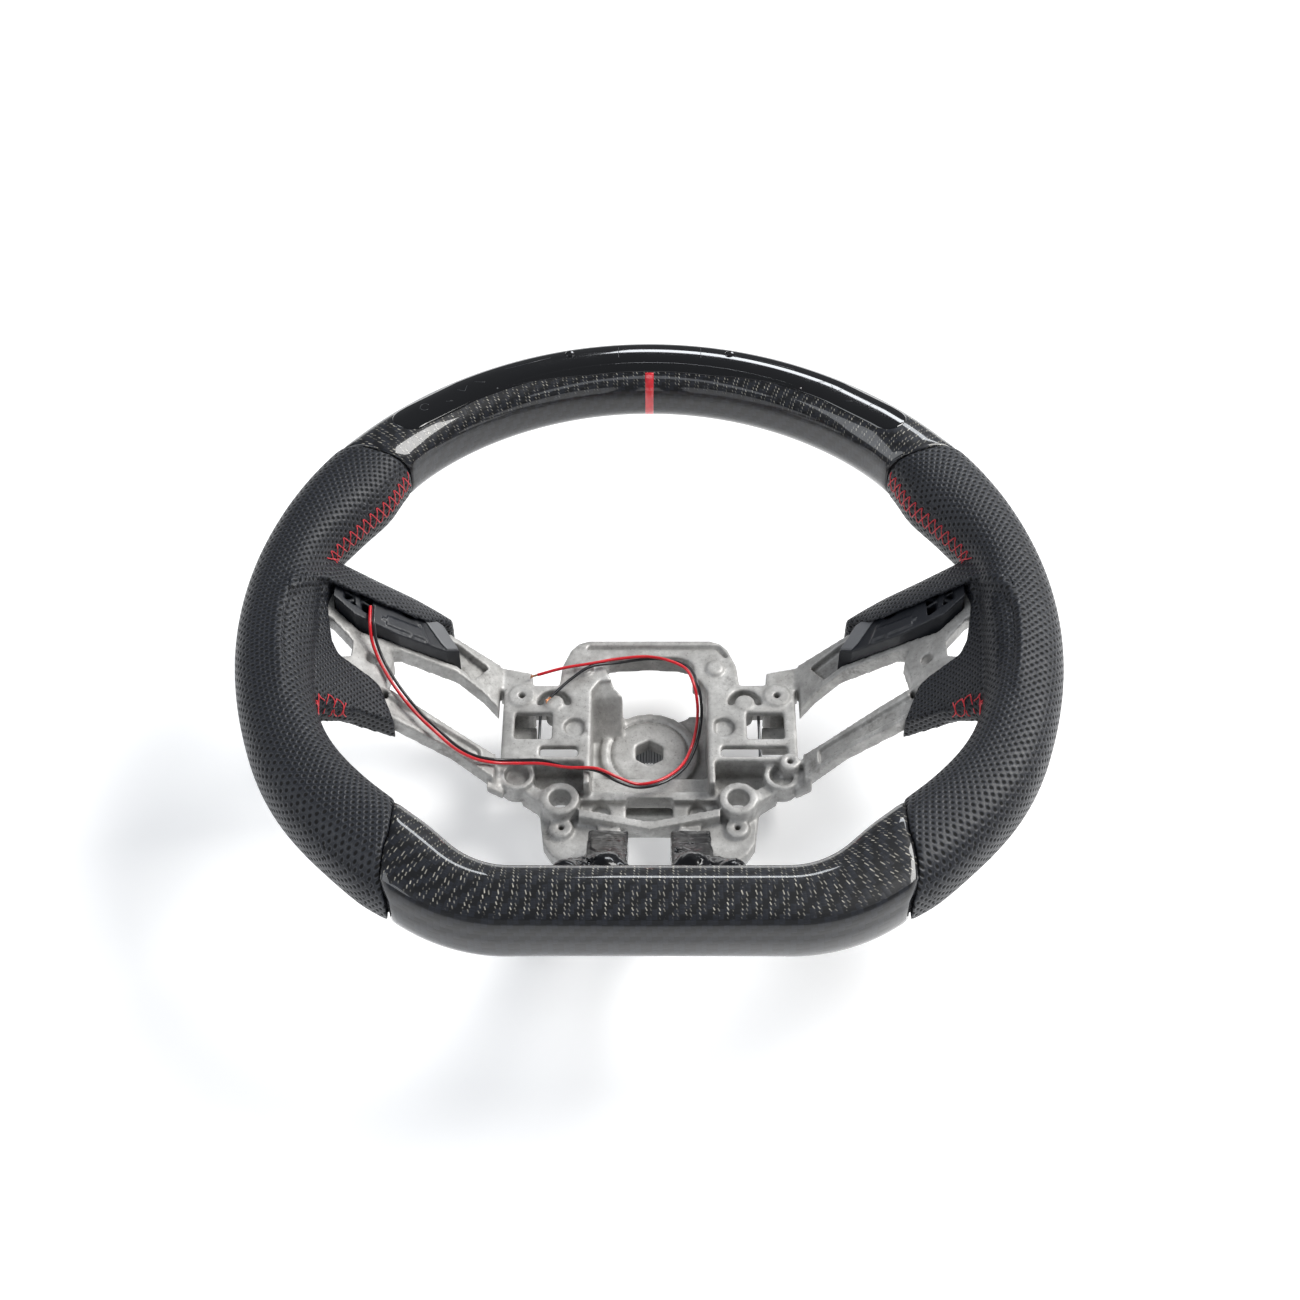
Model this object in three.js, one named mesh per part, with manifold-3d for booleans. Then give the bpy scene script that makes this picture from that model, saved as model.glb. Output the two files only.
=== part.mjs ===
// Flat-bottomed steering wheel: cast armature, foam-cored rim, carbon and leather skins, rim display.
// Millimetres. +Z faces the driver, +Y points to 12 o'clock, and the wheel lies on its column boss.
// Shapes are drawn in the wheel's own frame: the column axis is X = Y = 0 and the rim's middle plane
// is Z = 0. The exported group moves them so that its origin lies under the middle of the wheel.
import * as THREE from "three";
import { mergeVertices } from "three/addons/utils/BufferGeometryUtils.js";
import Module from "manifold-3d";

const wasm = await Module();
wasm.setup();

// ---------------------------------------------------------------- driving dimensions
const RIM_RADIUS = 168.3; // centreline of the round part of the rim
const FLAT_BOTTOM_Y = -145.6; // centreline of the flat bottom
const ROUND_ENDS_AT = -20; // degrees from +X, where the round part ends
const CHAMFER_SLOPE = 39.9; // degrees, slope of the lower corners' straight stretch
const CORNER_HALF_FLAT = 77.5; // X where the chamfer would meet the flat bottom
const CORNER_FILLET = 56; // centreline radius at the bottom corners
const GAP = 0.3; // clearance between neighbouring pieces
const SKIN = 1.8; // thickness of the leather and carbon skins
const CORE_INSET = SKIN + 2 * GAP; // how far the foam lies under the finished surface
const RIM_SIDES = 12; // facets round the rim section
const RIM_STEPS = 48; // facets along the rim
const SQUARENESS = 2.5; // exponent of the rim section's superellipse
const TOP_SEAM = 0.3; // leather meets top carbon, as a share of the way from 12 to 6 o'clock
const LOWER_SEAM = 0.773; // leather meets lower carbon

// Half sizes of the rim's section: share of the way, inwards, outwards, up, down.
const SECTION = [
  [0.0, 14.6, 16.7, 17.3, 17.3],
  [0.2, 15.6, 16.7, 17.3, 17.3],
  [0.28, 17.7, 16.7, 18.0, 17.3],
  [0.325, 22.0, 16.9, 18.8, 17.8],
  [0.37, 19.0, 17.0, 18.6, 17.6],
  [0.42, 14.0, 17.0, 17.8, 17.3],
  [0.511, 17.2, 16.7, 18.3, 17.3],
  [0.612, 16.2, 16.9, 18.3, 17.3],
  [0.705, 19.8, 18.6, 18.3, 17.3],
  [0.78, 19.8, 21.0, 17.8, 17.3],
  [0.82, 18.6, 18.5, 17.3, 16.8],
  [0.88, 17.2, 17.2, 16.8, 16.8],
  [1.0, 17.2, 17.2, 16.3, 16.3],
];

const FOAM_TOP_Y = 90; // the foam's upper and lower partings
const FOAM_LOW_Y = -100;
const HOOP_HALF = 5; // radial half width of the metal hoop inside the rim
const HOOP_Z = [-8, 4];

const DECK_Z = -66; // top of the hub's side decks
const DISC_Z = -88.5; // face of the disc round the column axis
const FLOOR_Z = -91; // top of the hub's floor
const SKIRT_Z = -92; // bottom of the hub's side walls
const BOSS_Z = -110; // rear face of the column boss, on which the wheel lies
const LOWER_Z = -81; // top of the plate below the hub

const SPOKE_ROOT_X = 72.6; // where a side spoke starts at the hub
const SPOKE_SLOPE = 0.77; // rise of the side spokes per millimetre outwards
const SPOKE_DEEP = 10; // height of the side spokes

const LENS_R = [160.5, 178.5]; // display window in the top of the rim
const LENS_Z = [15.2, 17.0];
const LENS_HALF_ANGLE = 43; // degrees to each side of 12 o'clock
const BUTTON_R = 173;
const BUTTON_ANGLE = 13.3; // degrees to each side of 12 o'clock

const BORE = [41.8, -38.4]; // airbag bosses
const SCREW_LOW = [41.2, -50.8]; // back cover bosses
const SCREW_HIGH = [61.6, 17.1]; // switch pack bosses
const SPRING_POST = [46, 13];

const CORE_D = 1.5; // one core of the lead
const CORE_APART = 0.95; // half the distance between the two cores
// The lead's route: hand-chosen points along its middle.
const LEAD = [
  [-128.5, 25.9, -9.5],
  [-128.0, 16.7, -10.0],
  [-127.1, 10.4, -15.5],
  [-123.7, 3.4, -21.5],
  [-117.8, -5.8, -25.5],
  [-111.3, -13.0, -30.5],
  [-105.0, -18.0, -36.0],
  [-97.5, -24.0, -39.5],
  [-89.9, -27.8, -46.0],
  [-82.1, -28.4, -53.0],
  [-72.5, -25.0, -61.5],
  [-62.0, -23.3, -64.3],
  [-50.2, -23.5, -64.3],
  [-38.4, -26.4, -64.3],
  [-24.3, -28.2, -64.0],
  [-15.0, -31.6, -66.8],
  [-5.6, -32.7, -70.5],
  [4.7, -30.3, -71.0],
  [15.3, -19.3, -75.0],
  [21.3, -3.7, -79.0],
  [24.0, 9.7, -78.5],
  [24.3, 16.4, -72.2],
  [22.6, 23.2, -65.2],
  [18.6, 32.5, -63.6],
  [9.8, 37.2, -63.4],
  [-0.9, 38.8, -63.4],
  [-15.5, 36.9, -63.4],
  [-29.1, 32.9, -61.8],
];
const RED_END = [
  [-42.2, 31.6, -62.5],
  [-54.3, 28.3, -63.6],
];
const BLACK_END = [
  [-37.2, 25.7, -62.6],
  [-43.4, 19.5, -63.3],
  [-47.6, 14.9, -63.9],
];

// ---------------------------------------------------------------- solids
function solid(geometry) {
  geometry.deleteAttribute("normal");
  geometry.deleteAttribute("uv");
  const merged = mergeVertices(geometry, 1e-4);
  return new wasm.Manifold(
    new wasm.Mesh({
      numProp: 3,
      vertProperties: new Float32Array(merged.attributes.position.array),
      triVerts: new Uint32Array(merged.index.array),
    }),
  );
}

function join(...parts) {
  return parts.reduce((all, one) => all.add(one));
}

function cut(body, ...parts) {
  return parts.reduce((all, one) => all.subtract(one), body);
}

function mirrored(body) {
  return body.mirror([1, 0, 0]);
}

// A copy on each side of the plane X = 0, as one solid.
function pair(body) {
  return join(body, mirrored(body));
}

function shapeOf(points) {
  return new THREE.Shape(points.map(([x, y]) => new THREE.Vector2(x, y)));
}

function prism(points, z0, z1) {
  const geometry = new THREE.ExtrudeGeometry(shapeOf(points), { depth: z1 - z0, bevelEnabled: false });
  geometry.translate(0, 0, z0);
  return solid(geometry);
}

function block(x0, x1, y0, y1, z0, z1) {
  const geometry = new THREE.BoxGeometry(x1 - x0, y1 - y0, z1 - z0);
  geometry.translate((x0 + x1) / 2, (y0 + y1) / 2, (z0 + z1) / 2);
  return solid(geometry);
}

function drum(x, y, radius, z0, z1, sides = 20, topRadius = radius) {
  const geometry = new THREE.CylinderGeometry(topRadius, radius, z1 - z0, sides);
  geometry.rotateX(Math.PI / 2);
  geometry.translate(x, y, (z0 + z1) / 2);
  return solid(geometry);
}

// Moves each edge of a polygon outwards by d; the points run counter-clockwise.
function grown(points, d) {
  const n = points.length;
  return points.map((p, i) => {
    const a = points[(i + n - 1) % n];
    const b = points[(i + 1) % n];
    const u = new THREE.Vector2(p[0] - a[0], p[1] - a[1]).normalize();
    const v = new THREE.Vector2(b[0] - p[0], b[1] - p[1]).normalize();
    const k = d / Math.max(0.3, 1 + u.dot(v));
    return [p[0] + (u.y + v.y) * k, p[1] - (u.x + v.x) * k];
  });
}

// Polygon drawn in Y and Z, extruded along X.
function sidePrism(points, x0, x1) {
  const geometry = new THREE.ExtrudeGeometry(shapeOf(points), { depth: x1 - x0, bevelEnabled: false });
  const axes = new THREE.Matrix4().makeBasis(
    new THREE.Vector3(0, 1, 0),
    new THREE.Vector3(0, 0, 1),
    new THREE.Vector3(1, 0, 0),
  );
  geometry.applyMatrix4(axes);
  geometry.translate(x0, 0, 0);
  return solid(geometry);
}

// ---------------------------------------------------------------- the rim
function rimPath() {
  const path = new THREE.Path();
  const end = THREE.MathUtils.degToRad(ROUND_ENDS_AT);
  path.absarc(0, 0, RIM_RADIUS, Math.PI / 2, end, true);
  const from = new THREE.Vector2(Math.cos(end), Math.sin(end)).multiplyScalar(RIM_RADIUS);
  const heading = new THREE.Vector2(Math.sin(end), -Math.cos(end));
  const slope = THREE.MathUtils.degToRad(CHAMFER_SLOPE);
  const corner = new THREE.Vector2(CORNER_HALF_FLAT, FLAT_BOTTOM_Y);
  const along = new THREE.Vector2(Math.cos(slope), Math.sin(slope));
  const gapX = corner.x - from.x;
  const gapY = corner.y - from.y;
  const det = -heading.x * along.y + along.x * heading.y;
  const k = (-gapX * along.y + along.x * gapY) / det;
  const knee = from.clone().addScaledVector(heading, k);
  const reach = CORNER_FILLET * Math.tan(slope / 2);
  const soft = Math.min(k * 0.9, (knee.distanceTo(corner) - reach) * 0.6);
  const before = knee.clone().addScaledVector(heading, -soft);
  const after = knee.clone().addScaledVector(along, -soft);
  path.lineTo(before.x, before.y);
  path.quadraticCurveTo(knee.x, knee.y, after.x, after.y);
  const start = corner.clone().addScaledVector(along, reach);
  path.lineTo(start.x, start.y);
  path.absarc(corner.x - reach, corner.y + CORNER_FILLET, CORNER_FILLET, slope - Math.PI / 2, -Math.PI / 2, true);
  path.lineTo(0, FLAT_BOTTOM_Y);
  return path;
}

const PATH = rimPath();

function sectionAt(s) {
  let i = 1;
  while (i < SECTION.length - 1 && SECTION[i][0] < s) i += 1;
  const a = SECTION[i - 1];
  const b = SECTION[i];
  const w = Math.min(1, Math.max(0, (s - a[0]) / (b[0] - a[0])));
  return a.slice(1).map((v, j) => v + (b[j + 1] - v) * w);
}

// t runs 0 to 1 down the right side of the rim and 1 to 2 up the left side.
function onRim(t, angle, grow, target) {
  const turn = ((t % 2) + 2) % 2;
  const side = turn <= 1 ? 1 : -1;
  const s = turn <= 1 ? turn : 2 - turn;
  const p = PATH.getPointAt(s);
  const d = PATH.getTangentAt(s);
  const [inner, outer, up, down] = sectionAt(s);
  const c = Math.cos(angle);
  const h = Math.sin(angle);
  const power = 2 / SQUARENESS;
  const radial = Math.sign(c) * Math.abs(c) ** power * ((c > 0 ? outer : inner) + grow);
  const lift = Math.sign(h) * Math.abs(h) ** power * ((h > 0 ? up : down) + grow);
  return target.set(side * (p.x - d.y * radial), p.y + d.x * radial, lift);
}

// A stretch of the rim from t0 to t1; with an inner growth it is a sleeve, otherwise it is solid.
function rimPiece(t0, t1, outerGrow, innerGrow = null) {
  const stations = [t0];
  const pitch = 2 / RIM_STEPS;
  for (let k = Math.ceil(t0 / pitch + 0.1); k * pitch < t1 - pitch * 0.1; k += 1) stations.push(k * pitch);
  stations.push(t1);
  const steps = stations.length - 1;
  const shape = new THREE.Shape();
  shape.absarc(0, 0, 2, 0, Math.PI * 2, false);
  if (innerGrow !== null) {
    const hole = new THREE.Path();
    hole.absarc(0, 0, 1, 0, Math.PI * 2, true);
    shape.holes.push(hole);
  }
  const geometry = new THREE.ExtrudeGeometry(shape, {
    depth: 1,
    steps,
    bevelEnabled: false,
    curveSegments: RIM_SIDES / 2,
  });
  const at = geometry.getAttribute("position");
  const p = new THREE.Vector3();
  for (let i = 0; i < at.count; i += 1) {
    const x = at.getX(i);
    const y = at.getY(i);
    const grow = Math.hypot(x, y) > 1.5 ? outerGrow : innerGrow;
    onRim(stations[Math.round(at.getZ(i) * steps)], Math.atan2(y, x), grow, p);
    at.setXYZ(i, p.x, p.y, p.z);
  }
  return outwards(solid(geometry));
}

// The whole rim as a closed ring.
function rimRing(grow, steps = RIM_STEPS) {
  const geometry = new THREE.TorusGeometry(2, 1, RIM_SIDES, steps);
  const at = geometry.getAttribute("position");
  const p = new THREE.Vector3();
  for (let i = 0; i < at.count; i += 1) {
    const x = at.getX(i);
    const y = at.getY(i);
    const radial = Math.hypot(x, y) - 2;
    const t = 0.5 - Math.atan2(y, x) / Math.PI;
    const share = Math.round(t * steps / 2) * 2 / steps;
    onRim(share, Math.atan2(at.getZ(i), radial), grow, p);
    at.setXYZ(i, p.x, p.y, p.z);
  }
  return outwards(solid(geometry));
}

function outwards(body) {
  if (body.volume() > 0) return body;
  throw new Error("a rim piece is inside out");
}

// A flat band that follows the centreline of the rim.
function hoopBand(half, z0, z1, steps = 40) {
  const outer = [];
  const inner = [];
  for (let i = 0; i < steps; i += 1) {
    const t = (i * 2) / steps;
    const s = t <= 1 ? t : 2 - t;
    const side = t <= 1 ? 1 : -1;
    const p = PATH.getPointAt(s);
    const d = PATH.getTangentAt(s);
    outer.push([side * (p.x - d.y * half), p.y + d.x * half]);
    inner.push([side * (p.x + d.y * half), p.y - d.x * half]);
  }
  return cut(prism(outer, z0, z1), prism(inner, z0 - 1, z1 + 1));
}

// ---------------------------------------------------------------- side spokes
const SPOKE_OUTLINE = [
  [SPOKE_ROOT_X, -33],
  [92, -26.5],
  [117, -24],
  [143, -27.5],
  [154, -26.5],
  [154, -9],
  [146, -5],
  [137, 1],
  [137, 10],
  [146, 17],
  [153, 20],
  [153, 44],
  [143, 45],
  [112, 42.5],
  [92, 39],
  [SPOKE_ROOT_X, 35],
];
const SPOKE_WINDOW = [
  [SPOKE_ROOT_X + 0.01, -19],
  [84, -16.5],
  [107, -10.5],
  [121.5, -7.5],
  [119, 9],
  [121, 14],
  [117, 16.5],
  [92, 19],
  [80, 14],
  [SPOKE_ROOT_X + 0.01, 8.5],
];

// Tilts a flat body so that it rises towards the rim; z = 0 becomes the spokes' top face.
function tilted(body, side) {
  const lean = new THREE.Matrix4().makeShear(0, SPOKE_SLOPE * side, 0, 0, 0, 0);
  lean.setPosition(0, 0, DECK_Z - SPOKE_SLOPE * 70.3);
  return body.transform(lean.elements);
}

function sided(points, side) {
  return side > 0 ? points : points.map(([x, y]) => [-x, y]).reverse();
}

function leaned(points, z0, z1, side) {
  return tilted(prism(sided(points, side), z0, z1), side);
}

function spokeFrame(side) {
  const upperPocket = [[78, 30], [84, 19.5], [92, 22.5], [118, 20], [134, 17], [146, 24], [146, 40], [92, 35.5]];
  const lowerPocket = [[79, -28.2], [92, -23.6], [117, -20.9], [140, -23.6], [140, -12], [122, -11.5], [84, -19], [79, -20.5]];
  return cut(
    leaned(SPOKE_OUTLINE, -SPOKE_DEEP, 0, side),
    leaned(SPOKE_WINDOW, -SPOKE_DEEP - 2, 2, side),
    leaned(upperPocket, -5.5, 2, side),
    leaned(lowerPocket, -2.5, 2, side),
    tilted(drum(side * 128.5, 4.5, 2.6, -20, 5, 12), side),
    tilted(drum(side * 121.5, -11, 1.6, -8, 5, 10), side),
    block(...(side > 0 ? [60, SPOKE_ROOT_X] : [-SPOKE_ROOT_X, -60]), -60, 60, -90, -50),
  );
}

// The room a spoke needs inside the rim, grown by the gap and open towards the hoop.
function spokeRoom(side) {
  const upper = [[130, 8], [146.2, 16.6], [166, 18], [166, 46], [130, 46]];
  const lower = [[130, -29.5], [143, -28.5], [166, -27.5], [166, -7], [146, -4.4], [130, 2]];
  const hole = grown(SPOKE_OUTLINE, GAP * 1.4);
  const reach = join(
    leaned([[148, -27], [166, -27], [166, -8.5], [148, -8.5]], -SPOKE_DEEP - GAP, GAP, side),
    leaned([[148, 19.5], [166, 19.5], [166, 44.5], [148, 44.5]], -SPOKE_DEEP - GAP, GAP, side),
  );
  return join(leaned(hole, -SPOKE_DEEP - GAP, GAP, side), reach, leaned(upper, 0, 0.1, side), leaned(lower, 0, 0.1, side));
}

// ---------------------------------------------------------------- hub casting
function deck() {
  const top = prism([[28, -21], [70.3, -21], [70.3, 24], [28, 24]], DECK_Z - 4, DECK_Z);
  const wallOut = prism([[28, -21], [70.3, -21], [70.3, 24], [28, 24]], SKIRT_Z, DECK_Z - 1);
  const wallIn = prism([[31.5, -18], [67.3, -18], [67.3, 21.6], [31.5, 21.6]], SKIRT_Z - 1, DECK_Z - 4);
  const root = prism([[56, 21], [72.3, 21], [72.3, 35], [57, 31.5]], DECK_Z - 12, DECK_Z);
  const block1 = block(54.5, 68, -2.5, 8, -88, -79);
  return join(top, cut(wallOut, wallIn), root, block1);
}

function deckFittings() {
  return join(
    drum(...SCREW_HIGH, 6.2, -90, DECK_Z + 1, 12),
    drum(...SPRING_POST, 4.3, -80, DECK_Z + 0.6, 12),
    drum(62.5, -26.5, 9.0, -81, -70, 12, 8.6),
    prism([[56, -30], [72.3, -33], [72.3, -19], [56, -19]], -80, -70),
  );
}

function deckCuts(side) {
  const arc = new THREE.Shape();
  arc.absarc(0, 0, 8.2, -0.15, Math.PI + 0.15, false);
  arc.absarc(0, 0, 5.0, Math.PI + 0.15, -0.15, true);
  const slot = new THREE.ExtrudeGeometry(arc, { depth: 8, bevelEnabled: false, curveSegments: 7 });
  slot.translate(...SPRING_POST, DECK_Z - 5);
  return join(
    solid(slot),
    block(46.5, 64.5, -8.2, 7.4, DECK_Z - 5, DECK_Z + 1),
    block(34, side > 0 ? 65.5 : 52, -18.5, -12.5, DECK_Z - 5, DECK_Z + 1),
    drum(...SCREW_HIGH, 1.7, -80, DECK_Z + 3, 8),
    drum(35.5, -1.2, 5.4, DECK_Z - 2.6, DECK_Z + 1, 10),
    drum(62.5, -26.5, 6.0, -73.5, -69, 10),
  );
}

function centre() {
  const outer = [[-44, 21], [44, 21], [42.5, 36], [38.5, 46], [35, 50], [30, 52]];
  const beamOutline = [...outer, ...outer.slice(1).reverse().map(([x, y]) => [-x, y])].filter(
    (p, i, all) => all.findIndex((q) => q[0] === p[0] && q[1] === p[1]) === i,
  );
  const beam = prism(beamOutline, DECK_Z - 12, DECK_Z);
  const opening = [
    [14, 20.5], [18.5, 22.5], [21, 27], [21.5, 36], [19.5, 39.5], [14, 41.3], [0, 42],
    [-14, 41.3], [-19.5, 40.5], [-22.5, 37], [-19.5, 30], [-17, 25], [-13.5, 22], [-10, 20.5],
  ];
  const well = prism([[-27.8, -34], [27.8, -34], [27.8, 21], [24, 27], [-24, 27], [-27.8, 21]], FLOOR_Z, DECK_Z + 1);
  const floor = prism([[-30, -36], [30, -36], [30, 20.5], [-30, 20.5]], FLOOR_Z - 5, FLOOR_Z);
  const walls = block(-31, 31, -34, 24, SKIRT_Z, DECK_Z);
  const groove = prism([[-31, 46.3], [33, 46.3], [37, 41], [39, 42], [34.5, 48.8], [-30, 48.8]], DECK_Z - 2.5, DECK_Z + 1);
  const body = cut(join(beam, walls), well, groove);
  const ramp = sidePrism([[7, -92], [26.5, -92], [26.5, -68.5], [21, -72], [14, -82]], -28.4, -13);
  const holed = cut(join(body, floor, ramp), prism(opening, -100, DECK_Z + 1));
  const disc = join(drum(0, 0, 24, FLOOR_Z - 5, DISC_Z, 24), drum(0, 0, 22, BOSS_Z, FLOOR_Z - 3, 24));
  const ring = cut(drum(0, 0, 20.2, DISC_Z - 1.4, DISC_Z + 1, 24), drum(0, 0, 18.2, DISC_Z - 3, DISC_Z + 2, 24));
  const trimmed = cut(disc, ring, drum(0, 0, 13.3, BOSS_Z - 1, -97.3, 20), drum(0, 0, 7.7, -98, DISC_Z + 1, 6));
  const studs = pair(drum(32, 33.8, 4.3, DECK_Z - 8, DECK_Z + 1.6, 12));
  return join(cut(holed, drum(0, 0, 12, -100, -80, 12)), trimmed, studs);
}

function lowerPlate() {
  const half = [[0, -49.8], [11, -49.8], [13.5, -57], [26, -58], [30, -66], [41, -68], [46, -64], [49.5, -58], [52.5, -34], [56, -21]];
  const outline = [...half, ...half.slice(1).reverse().map(([x, y]) => [-x, y])];
  const plate = prism(outline, LOWER_Z - 5, LOWER_Z);
  const bar = prism(
    [[0, -55], [33, -47.5], [33, -43], [0, -50.5], [-33, -43], [-33, -47.5]],
    LOWER_Z, LOWER_Z + 7,
  );
  const ledge = prism([[-33, -36.5], [33, -36.5], [33, -31.5], [-33, -31.5]], LOWER_Z - 5, LOWER_Z + 4);
  const skirtOut = prism(outline, LOWER_Z - 8, LOWER_Z - 3);
  const skirtIn = prism(grown(outline, -3), LOWER_Z - 9, LOWER_Z - 4);
  const lugs = pair(join(
    drum(...BORE, 9.2, LOWER_Z - 5, LOWER_Z + 9, 14),
    drum(...SCREW_LOW, 5.6, LOWER_Z - 5, LOWER_Z + 3, 12),
    drum(16, -56, 3.6, LOWER_Z - 4, LOWER_Z + 5, 10),
    prism([[33, -37], [49, -34], [64, -24], [60, -34], [49, -42]], LOWER_Z - 5, LOWER_Z + 8),
  ));
  const holes = pair(join(
    drum(...BORE, 5.2, LOWER_Z - 10, LOWER_Z + 12, 12),
    drum(...SCREW_LOW, 1.6, LOWER_Z - 3, LOWER_Z + 6, 8),
    drum(22.7, -40.5, 4.6, LOWER_Z - 3.5, LOWER_Z + 9, 10),
  ));
  const recess = prism([[-9, -47], [9, -47], [11, -44], [11, -35], [-11, -35], [-11, -44]], LOWER_Z - 10, LOWER_Z + 5);
  return cut(join(plate, bar, ledge, cut(skirtOut, skirtIn), lugs), holes, recess);
}

const STUB = [[-52, -87], [-58, -87], [-139, -14], [-139, -3], [-130, -3], [-56, -76], [-50, -78]].reverse();
const STUB_X = [13.6, 24];

function hubCasting() {
  const side = join(deck(), deckFittings());
  const sides = join(cut(side, deckCuts(1)), mirrored(cut(side, deckCuts(-1))));
  const extra = cut(drum(66.2, -22.5, 4.8, -90, DECK_Z + 1.5, 14), drum(66.2, -22.5, 1.6, -80, DECK_Z + 3, 8));
  const stubs = pair(sidePrism(STUB, ...STUB_X));
  return join(sides, extra, centre(), lowerPlate(), stubs);
}

function columnInsert() {
  return cut(drum(0, 0, 12.9, BOSS_Z, -97.6, 20), drum(0, 0, 8.9, BOSS_Z - 1, -97, 16));
}

// ---------------------------------------------------------------- rim parts
function displayBand(r0, r1, z0, z1, halfAngle, steps = 14) {
  const mid = (r0 + r1) / 2;
  const end = (r1 - r0) / 2;
  const points = [];
  for (let i = 0; i <= steps; i += 1) points.push(polar(r1, halfAngle - (2 * halfAngle * i) / steps));
  for (let i = 1; i < 6; i += 1) points.push(roundEnd(mid, end, -halfAngle, i * 30));
  for (let i = 0; i <= steps; i += 1) points.push(polar(r0, (2 * halfAngle * i) / steps - halfAngle));
  for (let i = 1; i < 6; i += 1) points.push(roundEnd(mid, end, halfAngle, 180 + i * 30));
  return prism(points, z0, z1);
}

// A point on the half circle that closes the band at one end.
function roundEnd(radius, size, degrees, turn) {
  const [x, y] = polar(radius, degrees);
  const a = THREE.MathUtils.degToRad(90 - degrees + turn);
  return [x + size * Math.cos(a), y + size * Math.sin(a)];
}

function polar(radius, degrees) {
  const a = THREE.MathUtils.degToRad(90 - degrees);
  return [radius * Math.cos(a), radius * Math.sin(a)];
}

function stubRoom() {
  return pair(sidePrism(grown(STUB, GAP * 1.3).map(([y, z]) => [y < -138 ? y - 8 : y, z]), STUB_X[0] - GAP, STUB_X[1] + GAP));
}

// The moulded foam, cut into four lengths: everything outside the box given is taken away.
function foamLength(x0, x1, y0, y1) {
  const far = 400;
  return cut(
    rimRing(-CORE_INSET),
    hoopBand(HOOP_HALF + GAP, HOOP_Z[0] - GAP, HOOP_Z[1] + GAP),
    spokeRoom(1),
    spokeRoom(-1),
    stubRoom(),
    displayBand(LENS_R[0] - GAP, LENS_R[1] + GAP, 7.4, 30, LENS_HALF_ANGLE),
    block(-far, far, -far, y0, -far, far),
    block(-far, far, y1, far, -far, far),
    block(-far, x0, -far, far, -far, far),
    block(x1, far, -far, far, -far, far),
  );
}

function leatherCover(side) {
  const t0 = side > 0 ? TOP_SEAM + 0.001 : 2 - LOWER_SEAM + 0.001;
  const t1 = side > 0 ? LOWER_SEAM - 0.001 : 2 - TOP_SEAM - 0.001;
  return cut(rimPiece(t0, t1, 0, -SKIN), spokeRoom(side));
}

function carbonTop() {
  return cut(
    rimPiece(2 - TOP_SEAM, 2 + TOP_SEAM, 0, -SKIN),
    displayBand(LENS_R[0] - GAP, LENS_R[1] + GAP, 7.4, 30, LENS_HALF_ANGLE),
    centreStripeRoom(GAP),
  );
}

// The stripe lies in a shallow channel across the inner face of the carbon.
function centreStripeRoom(extra) {
  const half = 2.4 + extra;
  return cut(
    block(-half, half, 150, 160.2, -14, 16.5),
    rimRing(-0.7 - extra),
  );
}

function centreStripe() {
  return rimRing(0.05).intersect(cut(block(-2.4, 2.4, 150.2, 159.8, -13.5, 16), rimRing(-0.7)));
}

function carbonBottom() {
  return cut(rimPiece(LOWER_SEAM, 2 - LOWER_SEAM, 0, -SKIN), stubRoom());
}

function displayHousing() {
  return cut(
    displayBand(...LENS_R, 7.8, 14.8, LENS_HALF_ANGLE),
    displayBand(LENS_R[0] + 1.6, LENS_R[1] - 1.6, 9.4, 16, LENS_HALF_ANGLE),
  );
}

function displayBoard() {
  return displayBand(LENS_R[0] + 2, LENS_R[1] - 2, 9.7, 11.2, LENS_HALF_ANGLE - 0.3);
}

function displayLens() {
  const holes = [-1, 1].map((k) => drum(...polar(BUTTON_R, k * BUTTON_ANGLE), 2.6, 10, 20, 14));
  return cut(displayBand(...LENS_R, ...LENS_Z, LENS_HALF_ANGLE, 18), ...holes);
}

function displayButton(side) {
  const [x, y] = polar(BUTTON_R, side * BUTTON_ANGLE);
  return join(drum(x, y, 2.2, 13.2, LENS_Z[1] + 0.7, 14), drum(x, y, 3.2, 12.6, 14.4, 14));
}

function displayScreen() {
  return prism([[-20, 164.6], [20, 164.6], [20, 173.6], [-20, 173.6]], 11.5, 14.6);
}

function shiftLight(side) {
  const a0 = 20;
  const a1 = LENS_HALF_ANGLE - 2;
  const ring = [];
  for (let i = 0; i <= 6; i += 1) ring.push(polar(172, side * (a0 + ((a1 - a0) * i) / 6)));
  for (let i = 6; i >= 0; i -= 1) ring.push(polar(167, side * (a0 + ((a1 - a0) * i) / 6)));
  return prism(side > 0 ? ring.reverse() : ring, 11.5, 14.3);
}

function switchBracket(side) {
  const outline = [[90.5, 25], [96, 21.5], [117, 18.5], [136, 19], [145, 24], [145, 39.5], [106, 38.2], [98, 36]];
  const rim = [[104, 22.5], [122, 20.8], [122, 26], [108, 27.5]];
  const nook = [[129, 22], [141, 25.5], [141, 36.8], [129, 36.4]];
  const tall = leaned(outline, -5.1, 9, side);
  const ribs = leaned([[132.5, 20], [135, 20], [138.5, 38], [136, 38]], -5.1, 8.5, side);
  return cut(
    join(cut(tall, leaned(nook, -3, 12, side)), ribs, leaned(rim, 8.8, 9.9, side)),
    tilted(drum(side * 114, 34.2, 1.4, -12, 12, 10), side),
    tilted(drum(side * 114, 34.2, 3.1, -0.9, 12, 12), side),
    rimRing(GAP + 0.4),
    cut(leaned(grown(SPOKE_OUTLINE, GAP), -12, GAP, side), leaned(bracketSeat(), -5.2, 20, side)),
  );
}

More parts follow.
